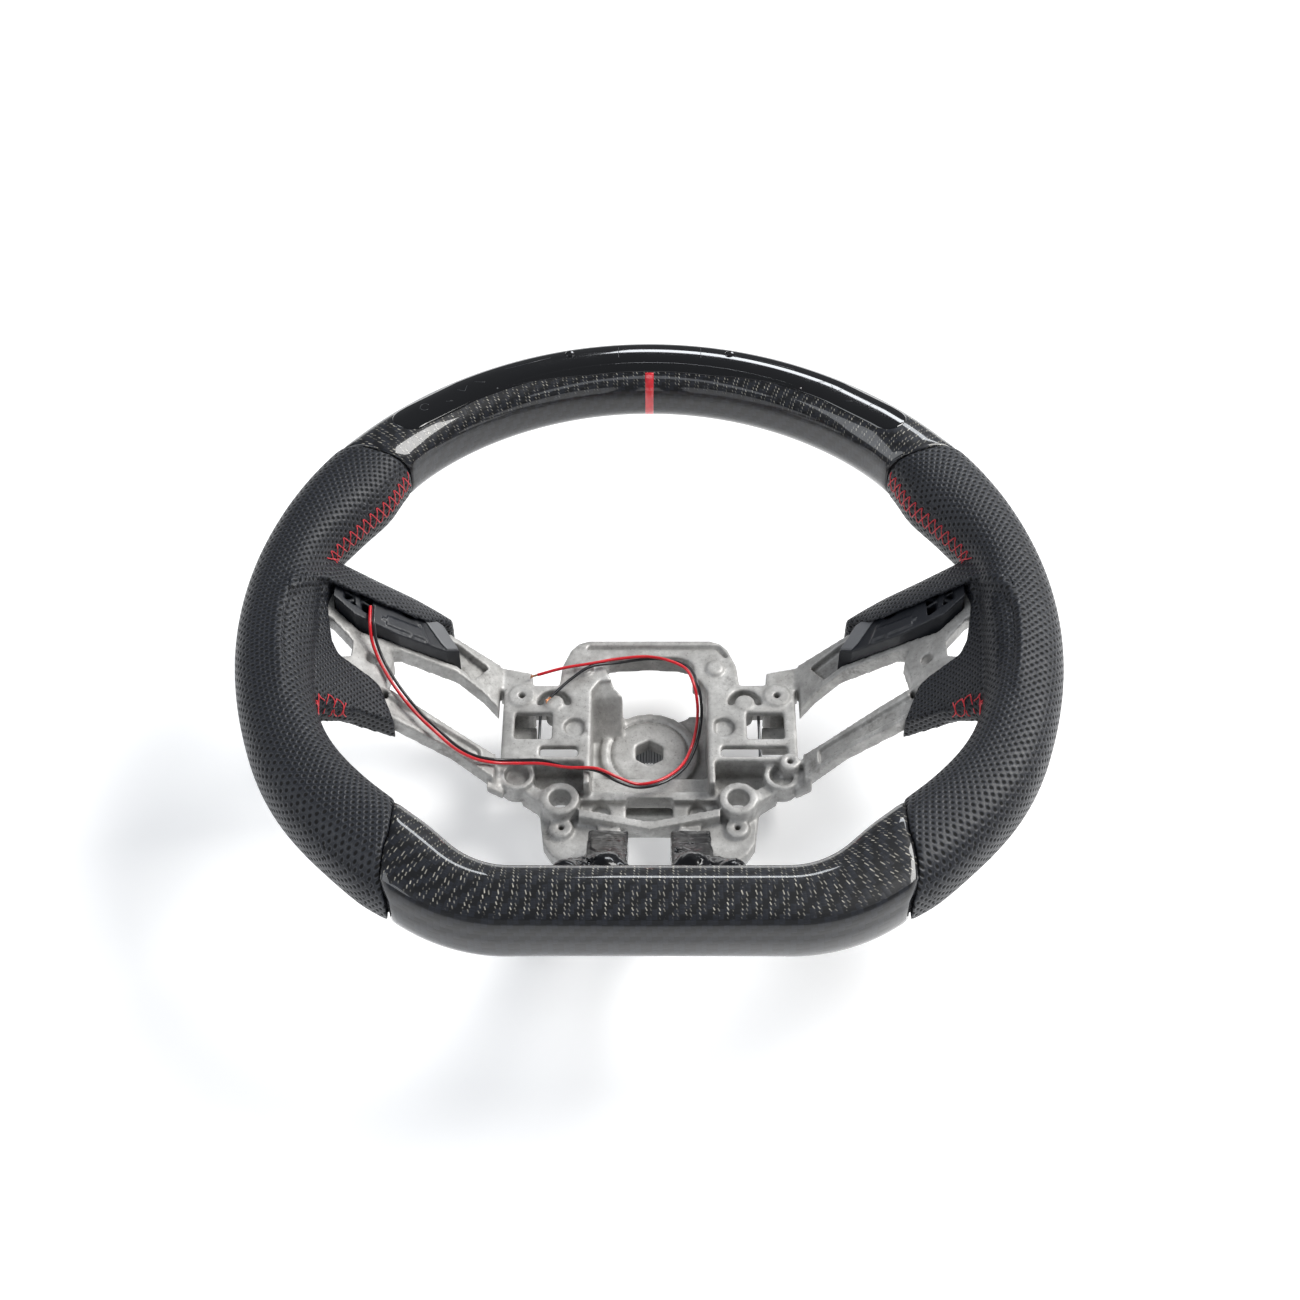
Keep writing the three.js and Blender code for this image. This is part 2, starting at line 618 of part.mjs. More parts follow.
function bracketSeat() {
  return [[86, 23.5], [92.5, 22.8], [118, 20.3], [134, 17.4], [145.6, 24.3], [145.6, 39.6], [92.5, 35.2], [85, 32]];
}

function bracketScrew(side) {
  return join(
    tilted(drum(side * 114, 34.2, 1.1, -4.6, 0.6, 10), side),
    tilted(drum(side * 114, 34.2, 2.6, -0.6, 1.4, 12), side),
  );
}

function upperWrap(side) {
  const outline = [[94.5, 41.5], [112, 40.3], [150, 41], [150, 49.5], [128, 48.8], [112, 48.2], [98, 45]];
  const lip = [[106, 31.5], [112, 30.6], [142, 29.5], [146, 46], [112, 45], [104, 43]];
  return cut(
    join(leaned(outline, -SPOKE_DEEP - 2.4, 12.5, side), leaned(lip, 10.3, 12.5, side)),
    rimRing(GAP + 0.4),
    leaned(grown(SPOKE_OUTLINE, GAP + 0.1), -SPOKE_DEEP - GAP, GAP, side),
  );
}

function lowerWrap(side) {
  const outline = [[115.5, -26.5], [142, -31], [152, -31.5], [152, -2], [146, 0], [127.5, -6.5], [124.5, -8.5]];
  return cut(
    leaned(outline, -SPOKE_DEEP - 2.4, 2.2, side),
    rimRing(GAP + 0.4),
    leaned(grown(SPOKE_OUTLINE, GAP + 0.1), -SPOKE_DEEP - GAP, GAP, side),
  );
}

function resinWrap(side) {
  const outer = [[-62, -84.5], [-127, -25], [-127, -1.5], [-121.5, -7.5], [-62, -65.5]];
  const body = sidePrism(outer.slice().reverse(), 10.4, 27.2);
  const room = sidePrism(grown(STUB, GAP * 1.3), STUB_X[0] - GAP, STUB_X[1] + GAP);
  const right = cut(body, room, rimRing(GAP + 0.4));
  return side > 0 ? right : mirrored(right);
}

// ---------------------------------------------------------------- wires
function tube(curve, diameter, steps, sides = 8) {
  const shape = new THREE.Shape();
  for (let i = 0; i < sides; i += 1) {
    const a = (i / sides) * Math.PI * 2;
    const r = diameter / 2;
    if (i === 0) shape.moveTo(r, 0);
    else shape.lineTo(r * Math.cos(a), r * Math.sin(a));
  }
  shape.closePath();
  return solid(new THREE.ExtrudeGeometry(shape, { steps, extrudePath: curve, bevelEnabled: false }));
}

function springWire(side) {
  const [px, py] = SPRING_POST;
  const r = 6.6;
  const z = -74;
  const points = [];
  for (let i = 0; i <= 9; i += 1) {
    const a = THREE.MathUtils.degToRad(200 - i * 22.2);
    points.push(new THREE.Vector3(px + r * Math.cos(a), py + r * Math.sin(a), z));
  }
  for (const y of [8, 2, -5, -12, -16.5]) points.push(new THREE.Vector3(px + r + 0.2, y, z));
  const right = tube(new THREE.CatmullRomCurve3(points), 1.4, 22, 6);
  return side > 0 ? right : mirrored(right);
}

// How far the pair has twisted at a point of the route; the red core passes over the black one twice.
function twistAt(i) {
  const first = THREE.MathUtils.clamp((i - 12) / 4, 0, 1);
  const second = THREE.MathUtils.clamp((i - 23) / 4, 0, 1);
  return Math.PI * (1 - first + second);
}

// One core of the lead: the shared route moved to its own side, then its own end.
function coreRoute(side, tail) {
  const points = LEAD.map((p, i) => {
    const a = LEAD[Math.max(0, i - 1)];
    const b = LEAD[Math.min(LEAD.length - 1, i + 1)];
    const d = new THREE.Vector2(b[0] - a[0], b[1] - a[1]).normalize();
    const across = Math.cos(twistAt(i)) * side * CORE_APART;
    const above = Math.sin(twistAt(i)) * side * CORE_APART;
    return new THREE.Vector3(p[0] - d.y * across, p[1] + d.x * across, p[2] + above);
  });
  for (const p of tail) points.push(new THREE.Vector3(...p));
  return new THREE.CatmullRomCurve3(points, false, "centripetal");
}

// The bare strands at the end of a core.
function bareEnd(route) {
  const end = route.getPointAt(1);
  const heading = route.getTangentAt(1);
  const from = end.clone().addScaledVector(heading, GAP);
  const to = end.clone().addScaledVector(heading, 4.5);
  return tube(new THREE.LineCurve3(from, to), 1.0, 1, 6);
}

// ---------------------------------------------------------------- assembly
function material(color, roughness, metalness) {
  return new THREE.MeshStandardMaterial({ color, roughness, metalness });
}

const CAST = material("#b9b5ae", 0.6, 0.7);
const STEEL = material("#6f7276", 0.4, 0.9);
const FOAM = material("#3a3a3c", 0.95, 0);
const LEATHER = material("#2a2c30", 0.7, 0);
const WEAVE = material("#1b1c1f", 0.18, 0.1);
const GLOSS = material("#08090a", 0.12, 0);
const PLASTIC = material("#1d1f24", 0.6, 0);
const RED = material("#d4202c", 0.5, 0);
const BLACK_WIRE = material("#15171a", 0.45, 0);
const COPPER = material("#b87743", 0.4, 0.9);
const BOARD = material("#123a24", 0.6, 0);
const GLOW = material("#20242c", 0.4, 0);
const RESIN = material("#101114", 0.15, 0);

const wheel = new THREE.Group();

function add(name, body, look) {
  const mesh = body.getMesh();
  const geometry = new THREE.BufferGeometry();
  geometry.setAttribute("position", new THREE.BufferAttribute(new Float32Array(mesh.vertProperties), 3));
  geometry.setIndex(new THREE.BufferAttribute(new Uint32Array(mesh.triVerts), 1));
  geometry.computeVertexNormals();
  const part = new THREE.Mesh(geometry, look);
  part.name = name;
  wheel.add(part);
}

const redRoute = coreRoute(1, RED_END);
const blackRoute = coreRoute(-1, BLACK_END);

add("hub_casting", hubCasting(), CAST);
add("column_insert", columnInsert(), STEEL);
add("rim_hoop", hoopBand(HOOP_HALF, ...HOOP_Z), CAST);
add("rim_foam_top", foamLength(-400, 400, FOAM_TOP_Y + GAP / 2, 400), FOAM);
add("rim_foam_bottom", foamLength(-400, 400, -400, FOAM_LOW_Y - GAP / 2), FOAM);
add("rim_foam_left", foamLength(-400, 0, FOAM_LOW_Y + GAP / 2, FOAM_TOP_Y - GAP / 2), FOAM);
add("rim_foam_right", foamLength(0, 400, FOAM_LOW_Y + GAP / 2, FOAM_TOP_Y - GAP / 2), FOAM);
add("carbon_top_shell", carbonTop(), WEAVE);
add("carbon_bottom_shell", carbonBottom(), WEAVE);
add("centre_stripe", centreStripe(), RED);
add("display_housing", displayHousing(), PLASTIC);
add("display_board", displayBoard(), BOARD);
add("display_screen", displayScreen(), GLOW);
add("display_lens", displayLens(), GLOSS);
for (const [side, word] of [[-1, "left"], [1, "right"]]) {
  add(`spoke_frame_${word}`, spokeFrame(side), CAST);
  add(`leather_cover_${word}`, leatherCover(side), LEATHER);
  add(`leather_upper_wrap_${word}`, upperWrap(side), LEATHER);
  add(`leather_lower_wrap_${word}`, lowerWrap(side), LEATHER);
  add(`switch_bracket_${word}`, switchBracket(side), PLASTIC);
  add(`bracket_screw_${word}`, bracketScrew(side), STEEL);
  add(`resin_wrap_${word}`, resinWrap(side), RESIN);
  add(`airbag_spring_${word}`, springWire(side), STEEL);
  add(`display_button_${word}`, displayButton(side), GLOSS);
  add(`shift_light_${word}`, shiftLight(side), GLOW);
}
add("lead_red", tube(redRoute, CORE_D, 70), RED);
add("lead_black", tube(blackRoute, CORE_D, 70), BLACK_WIRE);
add("bare_end_red", bareEnd(redRoute), COPPER);
add("bare_end_black", bareEnd(blackRoute), COPPER);

wheel.position.set(0, -11, -BOSS_Z);
const part = new THREE.Group();
part.add(wheel);

export default part;
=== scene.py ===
import math
import bpy
import bmesh
from mathutils import Matrix, Vector, noise


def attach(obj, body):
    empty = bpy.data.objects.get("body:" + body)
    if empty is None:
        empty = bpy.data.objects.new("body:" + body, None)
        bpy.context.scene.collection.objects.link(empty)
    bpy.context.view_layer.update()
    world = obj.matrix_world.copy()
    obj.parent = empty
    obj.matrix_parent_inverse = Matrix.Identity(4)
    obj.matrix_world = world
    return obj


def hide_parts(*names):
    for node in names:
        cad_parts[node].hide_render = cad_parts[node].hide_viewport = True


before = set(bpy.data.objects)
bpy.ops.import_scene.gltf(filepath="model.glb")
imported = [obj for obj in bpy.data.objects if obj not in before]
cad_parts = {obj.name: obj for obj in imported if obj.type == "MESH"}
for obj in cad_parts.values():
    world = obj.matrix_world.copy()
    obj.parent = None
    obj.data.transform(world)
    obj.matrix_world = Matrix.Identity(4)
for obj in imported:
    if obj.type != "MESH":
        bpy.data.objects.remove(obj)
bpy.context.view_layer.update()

# ---- frames and sizes
# Shapes are worked out in millimetres in the wheel's own frame (column axis at X = Y = 0, rim
# middle plane at Z = 0); W() turns them into metres in the model's frame.
OFFSET_Y, OFFSET_Z = -11.0, 110.0
RIM_RADIUS, FLAT_Y = 168.3, -145.6
ROUND_ENDS, CHAMFER = math.radians(-20), math.radians(39.9)
HALF_FLAT, FILLET = 77.5, 56.0
TOP_SEAM, LOWER_SEAM = 0.3, 0.773  # where leather meets carbon, as shares of half the rim
SQUARE = 2.5  # power of the rounded-square section
DECK_Z, SLOPE = -66.0, 0.77  # top of the hub's decks; rise of the spokes' top face per mm of x
SPOKE_ROOT = 70.3
SIDES = ((-1, "left"), (1, "right"))
# The rim's section: (share of half the rim, inner, outer, upper and lower half width)
SECTION = [
    (0.0, 14.6, 16.7, 17.3, 17.3), (0.2, 15.6, 16.7, 17.3, 17.3), (0.28, 17.7, 16.7, 18.0, 17.3),
    (0.325, 22.0, 16.9, 18.8, 17.8), (0.37, 19.0, 17.0, 18.6, 17.6), (0.42, 14.0, 17.0, 17.8, 17.3),
    (0.511, 17.2, 16.7, 18.3, 17.3), (0.612, 16.2, 16.9, 18.3, 17.3), (0.705, 19.8, 18.6, 18.3, 17.3),
    (0.78, 19.8, 21.0, 17.8, 17.3), (0.82, 18.6, 18.5, 17.3, 16.8), (0.88, 17.2, 17.2, 16.8, 16.8),
    (1.0, 17.2, 17.2, 16.3, 16.3)]


def W(x, y, z):
    return Vector((x, y + OFFSET_Y, z + OFFSET_Z)) * 0.001


# ---- camera
cam_data = bpy.data.cameras.new("camera")
cam_data.sensor_width = 36.0
cam_data.lens = 55.4
cam_data.clip_start = 0.05
camera = bpy.data.objects.new("camera", cam_data)
bpy.context.scene.collection.objects.link(camera)
camera.location = W(0.3, -578.4, 695.7)
camera.rotation_euler = (math.radians(90 - 50.66), 0, 0)
bpy.context.scene.camera = camera

# ---- the lead's two cores
LEAD = [
    (-128.5, 25.9, -9.5), (-128.0, 16.7, -10.0), (-127.1, 10.4, -15.5), (-123.7, 3.4, -21.5),
    (-117.8, -5.8, -25.5), (-111.3, -13.0, -30.5), (-105.0, -18.0, -36.0), (-97.5, -24.0, -39.5),
    (-89.9, -27.8, -46.0), (-82.1, -28.4, -53.0), (-72.5, -25.0, -61.5), (-62.0, -23.3, -64.3),
    (-50.2, -23.5, -64.3), (-38.4, -26.4, -64.3), (-24.3, -28.2, -64.0), (-15.0, -31.6, -66.8),
    (-5.6, -32.7, -70.5), (4.7, -30.3, -71.0), (15.3, -19.3, -75.0), (21.3, -3.7, -79.0),
    (24.0, 9.7, -78.5), (24.3, 16.4, -72.2), (22.6, 23.2, -65.2), (18.6, 32.5, -63.6),
    (9.8, 37.2, -63.4), (-0.9, 38.8, -63.4), (-15.5, 36.9, -63.4), (-29.1, 32.9, -61.8)]
RED_END = [(-42.2, 31.6, -62.5), (-54.3, 28.3, -63.6)]
BLACK_END = [(-37.2, 25.7, -62.6), (-43.4, 19.5, -63.3), (-47.6, 14.9, -63.9)]
CORE_D, CORE_APART = 1.5, 0.95


def twist_at(i):
    first = min(1, max(0, (i - 12) / 4))
    second = min(1, max(0, (i - 23) / 4))
    return math.pi * (1 - first + second)


def core_route(side, tail):
    points = []
    for i, p in enumerate(LEAD):
        a = LEAD[max(0, i - 1)]
        b = LEAD[min(len(LEAD) - 1, i + 1)]
        d = Vector((b[0] - a[0], b[1] - a[1])).normalized()
        across = math.cos(twist_at(i)) * side * CORE_APART
        above = math.sin(twist_at(i)) * side * CORE_APART
        points.append(Vector((p[0] - d.y * across, p[1] + d.x * across, p[2] + above)))
    return points + [Vector(p) for p in tail]


def smooth_path(points, per=6):
    """Centripetal Catmull-Rom through the points."""
    pts = [points[0] * 2 - points[1]] + points + [points[-1] * 2 - points[-2]]
    out = []
    for i in range(1, len(pts) - 2):
        p = pts[i - 1:i + 3]
        t = [0.0]
        for k in range(3):
            t.append(t[-1] + max(1e-6, (p[k + 1] - p[k]).length) ** 0.5)
        for k in range(per):
            u = t[1] + (t[2] - t[1]) * k / per
            a1 = p[0].lerp(p[1], (u - t[0]) / (t[1] - t[0]))
            a2 = p[1].lerp(p[2], (u - t[1]) / (t[2] - t[1]))
            a3 = p[2].lerp(p[3], (u - t[2]) / (t[3] - t[2]))
            b1 = a1.lerp(a2, (u - t[0]) / (t[2] - t[0]))
            b2 = a2.lerp(a3, (u - t[1]) / (t[3] - t[1]))
            out.append(b1.lerp(b2, (u - t[1]) / (t[2] - t[1])))
    out.append(points[-1].copy())
    return out


def wire(name, points, radius, resolution=4):
    data = bpy.data.curves.new(name, "CURVE")
    data.dimensions = "3D"
    spline = data.splines.new("POLY")
    spline.points.add(len(points) - 1)
    for dot, p in zip(spline.points, points):
        q = W(*p)
        dot.co = (q.x, q.y, q.z, 1.0)
    data.bevel_depth = radius * 0.001
    data.bevel_resolution = resolution
    data.use_fill_caps = True
    obj = bpy.data.objects.new(name, data)
    bpy.context.scene.collection.objects.link(obj)
    return obj


red_path = smooth_path(core_route(1, RED_END))
black_path = smooth_path(core_route(-1, BLACK_END))
red_core = wire("lead_red_core", red_path, CORE_D / 2)
black_core = wire("lead_black_core", black_path, CORE_D / 2)


ARC_HALF = 0.5203  # half of the rim's centreline, metres


# ---- node helpers
class Nodes:
    """A small helper that writes material node trees."""

    def __init__(self, name):
        self.mat = bpy.data.materials.new(name)
        self.mat.use_nodes = True
        self.tree = self.mat.node_tree
        self.shader = self.tree.nodes["Principled BSDF"]

    def add(self, kind, **fields):
        node = self.tree.nodes.new(kind)
        for key, value in fields.items():
            setattr(node, key, value)
        return node

    def link(self, a, b):
        self.tree.links.new(a, b)

    def put(self, socket, value):
        if hasattr(value, "is_linked"):
            self.link(value, socket)
        else:
            socket.default_value = value

    def math(self, op, a, b=0.0, c=0.0):
        node = self.add("ShaderNodeMath", operation=op)
        for socket, value in zip(node.inputs, (a, b, c)):
            self.put(socket, value)
        return node.outputs[0]

    def mul(self, a, b):
        return self.math("MULTIPLY", a, b)

    def sub(self, a, b):
        return self.math("SUBTRACT", a, b)

    def plus(self, a, b):
        return self.math("ADD", a, b)

    def over(self, a, b):
        return self.math("DIVIDE", a, b)

    def mix(self, factor, a, b):
        node = self.add("ShaderNodeMix", data_type="RGBA")
        self.put(node.inputs[0], factor)
        self.put(node.inputs[6], a)
        self.put(node.inputs[7], b)
        return node.outputs[2]

    def ramp(self, value, low, high, out_low=0.0, out_high=1.0):
        node = self.add("ShaderNodeMapRange", clamp=True)
        for socket, v in zip(node.inputs, (value, low, high, out_low, out_high)):
            self.put(socket, v)
        return node.outputs[0]

    def noise(self, scale, detail=3.0, rough=0.5, coords="Object", stretch=None):
        where = self.add("ShaderNodeTexCoord").outputs[coords]
        if stretch:
            mapping = self.add("ShaderNodeMapping")
            self.link(where, mapping.inputs[0])
            mapping.inputs[3].default_value = stretch
            where = mapping.outputs[0]
        node = self.add("ShaderNodeTexNoise")
        self.link(where, node.inputs["Vector"])
        node.inputs["Scale"].default_value = scale
        node.inputs["Detail"].default_value = detail
        node.inputs["Roughness"].default_value = rough
        return node.outputs["Fac"]

    def voronoi(self, scale, feature="F1", coords="Object"):
        node = self.add("ShaderNodeTexVoronoi", feature=feature)
        self.link(self.add("ShaderNodeTexCoord").outputs[coords], node.inputs["Vector"])
        node.inputs["Scale"].default_value = scale
        return node.outputs["Distance"]

    def uv(self):
        node = self.add("ShaderNodeSeparateXYZ")
        self.link(self.add("ShaderNodeUVMap", uv_map="UVMap").outputs[0], node.inputs[0])
        return node.outputs[0], node.outputs[1]

    def bump(self, height, distance, strength=1.0, normal=None):
        node = self.add("ShaderNodeBump")
        node.inputs["Strength"].default_value = strength
        node.inputs["Distance"].default_value = distance
        self.put(node.inputs["Height"], height)
        if normal is not None:
            self.link(normal, node.inputs["Normal"])
        return node.outputs[0]

    def set(self, **values):
        for key, value in values.items():
            self.put(self.shader.inputs[key.replace("_", " ")], value)
        return self.mat


def rgb(r, g, b):
    return (r, g, b, 1.0)


# ---- materials
def hole_mask(n, pitch_u, pitch_v, radius):
    """Staggered rows of round holes; 1 inside a hole, UV in metres."""
    u, v = n.uv()
    best = None
    for shift in (0.0, 0.5):
        a = n.plus(n.over(u, pitch_u), shift)
        b = n.plus(n.over(v, pitch_v), shift)
        du = n.mul(n.sub(n.math("FRACT", a), 0.5), pitch_u)
        dv = n.mul(n.sub(n.math("FRACT", b), 0.5), pitch_v)
        d = n.math("SQRT", n.plus(n.mul(du, du), n.mul(dv, dv)))
        best = d if best is None else n.math("MINIMUM", best, d)
    return n.ramp(best, radius * 0.72, radius * 1.25, 1.0, 0.0), best


def leather_material():
    n = Nodes("perforated_leather")
    hole, distance = hole_mask(n, 0.0038, 0.0038, 0.00068)
    grain = n.voronoi(1500.0, "DISTANCE_TO_EDGE")
    grain_soft = n.ramp(grain, 0.0, 0.12)
    broad = n.noise(38.0, 3.0)
    tone = n.mix(n.ramp(broad, 0.3, 0.7), rgb(0.0042, 0.0054, 0.0092), rgb(0.0080, 0.0098, 0.0150))
    tone = n.mix(n.mul(grain_soft, 0.35), n.mix(0.5, tone, rgb(0.010, 0.011, 0.014)), tone)
    # painted highlight: a lighter ring round each hole stands in for light catching its rim
    lip = n.mul(n.ramp(distance, 0.00075, 0.00095), n.ramp(distance, 0.00105, 0.0014, 1.0, 0.0))
    tone = n.mix(n.mul(lip, 0.35), tone, rgb(0.055, 0.060, 0.072))
    # painted shade: each hole is painted near black for the shade inside it
    tone = n.mix(hole, tone, rgb(0.001, 0.001, 0.001))
    dish = n.ramp(distance, 0.00045, 0.00120)
    normal = n.bump(grain_soft, 0.00006, 0.5)
    normal = n.bump(dish, 0.00030, 1.0, normal)
    rough = n.ramp(n.noise(120.0, 4.0), 0.3, 0.7, 0.34, 0.44)
    rough = n.plus(rough, n.mul(hole, 0.5))
    n.set(Base_Color=tone, Roughness=rough, Specular_IOR_Level=0.40, Normal=normal)
    return n.mat


def weave_nodes(n, tow_u, tow_v):
    """2x2 twill: 1 where the warp lies on top, and the height of the rounded tows."""
    u, v = n.uv()
    a = n.over(u, tow_u)
    b = n.over(v, tow_v)
    step = n.plus(n.math("FLOOR", a), n.math("FLOOR", b))
    over = n.math("LESS_THAN", n.math("FRACT", n.plus(n.mul(step, 0.25), 0.01)), 0.5)
    ca = n.sub(n.math("FRACT", a), 0.5)
    cb = n.sub(n.math("FRACT", b), 0.5)
    round_a = n.sub(1.0, n.mul(n.mul(ca, ca), 4.0))
    round_b = n.sub(1.0, n.mul(n.mul(cb, cb), 4.0))
    height = n.add("ShaderNodeMix", data_type="FLOAT")
    n.put(height.inputs[0], over)
    n.put(height.inputs[2], round_a)
    n.put(height.inputs[3], round_b)
    return over, height.outputs[0], ca, cb


def carbon_material():
    n = Nodes("carbon_twill")
    over, height, ca, cb = weave_nodes(n, 0.0022, 0.0022)
    fibres = n.noise(900.0, 2.0, 0.6, "UV", (0.35, 3.0, 1.0))
    warp = n.mix(n.ramp(fibres, 0.35, 0.75), rgb(0.0012, 0.0015, 0.0024), rgb(0.0034, 0.0040, 0.0060))
    weft = n.mix(n.ramp(fibres, 0.35, 0.75), rgb(0.0045, 0.0055, 0.0085), rgb(0.0150, 0.0175, 0.0250))
    tone = n.mix(over, weft, warp)
    edge = n.ramp(height, 0.0, 0.35, 0.35, 1.0)
    tone = n.mix(edge, rgb(0.0015, 0.0015, 0.002), tone)
    # painted glints: pale dashes in columns across the rim, kept to its upper faces, stand in for highlights
    # on the weave
    u, v = n.uv()
    sway = n.mul(n.sub(n.noise(26.0, 1.0, 0.5, "UV"), 0.5), 0.0035)
    painted_glints = None
    for shift, gain in ((0.0, 1.0), (0.34, 0.62)):
        fu = n.math("FRACT", n.plus(n.over(n.plus(u, sway), 0.0054), shift))
        fv = n.math("FRACT", n.plus(n.over(v, 0.0021), shift * 0.6))
        du = n.mul(n.sub(fu, 0.5), 0.0054)
        dv = n.mul(n.sub(fv, 0.5), 0.0021)
        along = n.plus(n.mul(du, 0.42), n.mul(dv, 0.91))
        cross = n.sub(n.mul(du, 0.91), n.mul(dv, 0.42))
        thin = n.ramp(n.math("ABSOLUTE", cross), 0.00012, 0.00030, 1.0, 0.0)
        short = n.ramp(n.math("ABSOLUTE", along), 0.00060, 0.00085, 1.0, 0.0)
        mark = n.mul(n.mul(thin, short), gain)
        painted_glints = mark if painted_glints is None else n.math("MAXIMUM", painted_glints, mark)
    patch = n.ramp(n.noise(330.0, 2.0, 0.6, "UV"), 0.40, 0.66)
    upper = n.mul(n.ramp(v, 0.0155, 0.0180), n.ramp(v, 0.0440, 0.0480, 1.0, 0.0))
    middle = n.math("LESS_THAN", n.math("ABSOLUTE", n.sub(u, 2 * ARC_HALF)), 0.118)
    edge_low = n.mul(middle, n.ramp(v, 0.0340, 0.0320))
    upper = n.mul(upper, n.sub(1.0, edge_low))
    painted_glints = n.mul(n.mul(painted_glints, patch), upper)
    # painted highlights: the pale cream glint dashes are mixed into the weave's colour
    tone = n.mix(n.mul(painted_glints, 0.8), tone, rgb(0.60, 0.57, 0.49))
    normal = n.bump(height, 0.00008, 0.4)
    n.set(Base_Color=tone, Roughness=0.42, Specular_IOR_Level=0.25, Normal=normal, Coat_Weight=1.0,
          Coat_Roughness=0.03, Coat_IOR=1.45)
    return n.mat


def stripe_material():
    n = Nodes("red_stripe")
    over, height, ca, cb = weave_nodes(n, 0.0012, 0.0012)
    tone = n.mix(n.mul(over, 0.3), rgb(0.68, 0.010, 0.022), rgb(0.50, 0.006, 0.016))
    n.set(Base_Color=tone, Roughness=0.35, Normal=n.bump(height, 0.00004, 0.4), Coat_Weight=1.0,
          Coat_Roughness=0.03)
    return n.mat


def gloss_material():
    n = Nodes("smoked_gloss")
    dust = n.ramp(n.noise(2600.0, 2.0), 0.66, 0.74)
    tone = n.mix(n.mul(dust, 0.25), rgb(0.0035, 0.0037, 0.0045), rgb(0.03, 0.03, 0.032))
    rough = n.ramp(n.noise(60.0, 4.0), 0.3, 0.75, 0.05, 0.13)
    n.set(Base_Color=tone, Roughness=rough, Coat_Weight=0.6, Coat_Roughness=0.02)
    return n.mat


def cast_material():
    n = Nodes("cast_magnesium")
    mottle = n.noise(95.0, 5.0, 0.65)
    cloud = n.noise(22.0, 4.0, 0.6)
    pits = n.ramp(n.noise(900.0, 2.0, 0.5), 0.62, 0.72)
    tone = n.mix(n.ramp(mottle, 0.32, 0.70), rgb(0.315, 0.310, 0.300), rgb(0.62, 0.615, 0.60))
    tone = n.mix(n.ramp(cloud, 0.46, 0.70, 0.0, 0.70), tone, rgb(0.170, 0.168, 0.166))
    fleck = n.ramp(n.noise(420.0, 4.0, 0.7), 0.35, 0.68, 0.0, 0.30)
    tone = n.mix(fleck, tone, rgb(0.20, 0.196, 0.188))
    stain = n.mul(n.ramp(n.noise(48.0, 6.0, 0.7), 0.56, 0.68), 0.70)
    tone = n.mix(stain, tone, rgb(0.095, 0.088, 0.080))
    tone = n.mix(n.mul(pits, 0.5), tone, rgb(0.14, 0.135, 0.13))
    # painted shade: concave creases (low pointiness) are darkened
    crease = n.ramp(n.add("ShaderNodeNewGeometry").outputs["Pointiness"], 0.40, 0.49)
    edge = n.ramp(n.add("ShaderNodeNewGeometry").outputs["Pointiness"], 0.52, 0.62)
    tone = n.mix(crease, rgb(0.085, 0.082, 0.078), tone)
    # painted highlight: sharp convex edges (high pointiness) are lightened
    tone = n.mix(n.mul(edge, 0.45), tone, rgb(0.66, 0.65, 0.62))
    grain = n.bump(n.noise(1500.0, 3.0, 0.6), 0.00012, 0.5)
    normal = n.bump(mottle, 0.0005, 0.3, grain)
    rough = n.ramp(mottle, 0.3, 0.7, 0.58, 0.40)
    n.set(Base_Color=tone, Metallic=0.25, Roughness=rough, Normal=normal)
    return n.mat


def plastic_material(name="moulded_plastic", tone=(0.013, 0.015, 0.020), rough=(0.36, 0.50)):
    n = Nodes(name)
    low = rgb(*[c * 0.7 for c in tone])
    scuff = n.ramp(n.noise(70.0, 6.0, 0.7), 0.58, 0.75, 0.0, 0.4)
    colour = n.mix(n.ramp(n.noise(30.0, 3.0), 0.3, 0.7), low, rgb(*tone))
    colour = n.mix(scuff, colour, rgb(0.07, 0.072, 0.078))
    normal = n.bump(n.noise(2200.0, 2.0), 0.00004, 0.5)
    n.set(Base_Color=colour, Roughness=n.ramp(n.noise(150.0, 3.0), 0.3, 0.7, *rough), Normal=normal)
    return n.mat


def resin_material():
    n = Nodes("wrinkled_resin")
    wave = n.noise(85.0, 4.0, 0.5, stretch=(1.0, 1.0, 1.6))
    fine = n.noise(300.0, 2.0, 0.5, stretch=(1.0, 1.0, 2.0))
    tone = n.mix(n.ramp(wave, 0.35, 0.7), rgb(0.0015, 0.0016, 0.0024), rgb(0.0045, 0.005, 0.0075))
    normal = n.bump(fine, 0.00002, 0.2, n.bump(wave, 0.0004, 0.35))
    n.set(Base_Color=tone, Roughness=0.30, Specular_IOR_Level=0.12, Normal=normal, Coat_Weight=0.7,
          Coat_Roughness=0.05)
    return n.mat


def steel_material():
    n = Nodes("spring_steel")
    brushed = n.noise(500.0, 3.0, 0.6, stretch=(1.0, 1.0, 8.0))
    tone = n.mix(brushed, rgb(0.16, 0.165, 0.17), rgb(0.36, 0.37, 0.38))
    n.set(Base_Color=tone, Metallic=0.9, Roughness=n.ramp(brushed, 0.2, 0.8, 0.28, 0.45))
    return n.mat


def sheath_material(name, tone, dark):
    n = Nodes(name)
    colour = n.mix(n.ramp(n.noise(180.0, 3.0), 0.3, 0.7), rgb(*dark), rgb(*tone))
    n.set(Base_Color=colour, Roughness=0.34, Normal=n.bump(n.noise(700.0, 2.0), 0.00004, 0.4),
          Coat_Weight=0.25, Coat_Roughness=0.15)
    return n.mat


def thread_material():
    n = Nodes("red_thread")
    twist = n.noise(2600.0, 2.0, 0.5)
    tone = n.mix(twist, rgb(0.40, 0.006, 0.016), rgb(0.78, 0.022, 0.040))
    n.set(Base_Color=tone, Roughness=0.62, Normal=n.bump(twist, 0.0001, 0.6), Sheen_Weight=0.3)
    return n.mat


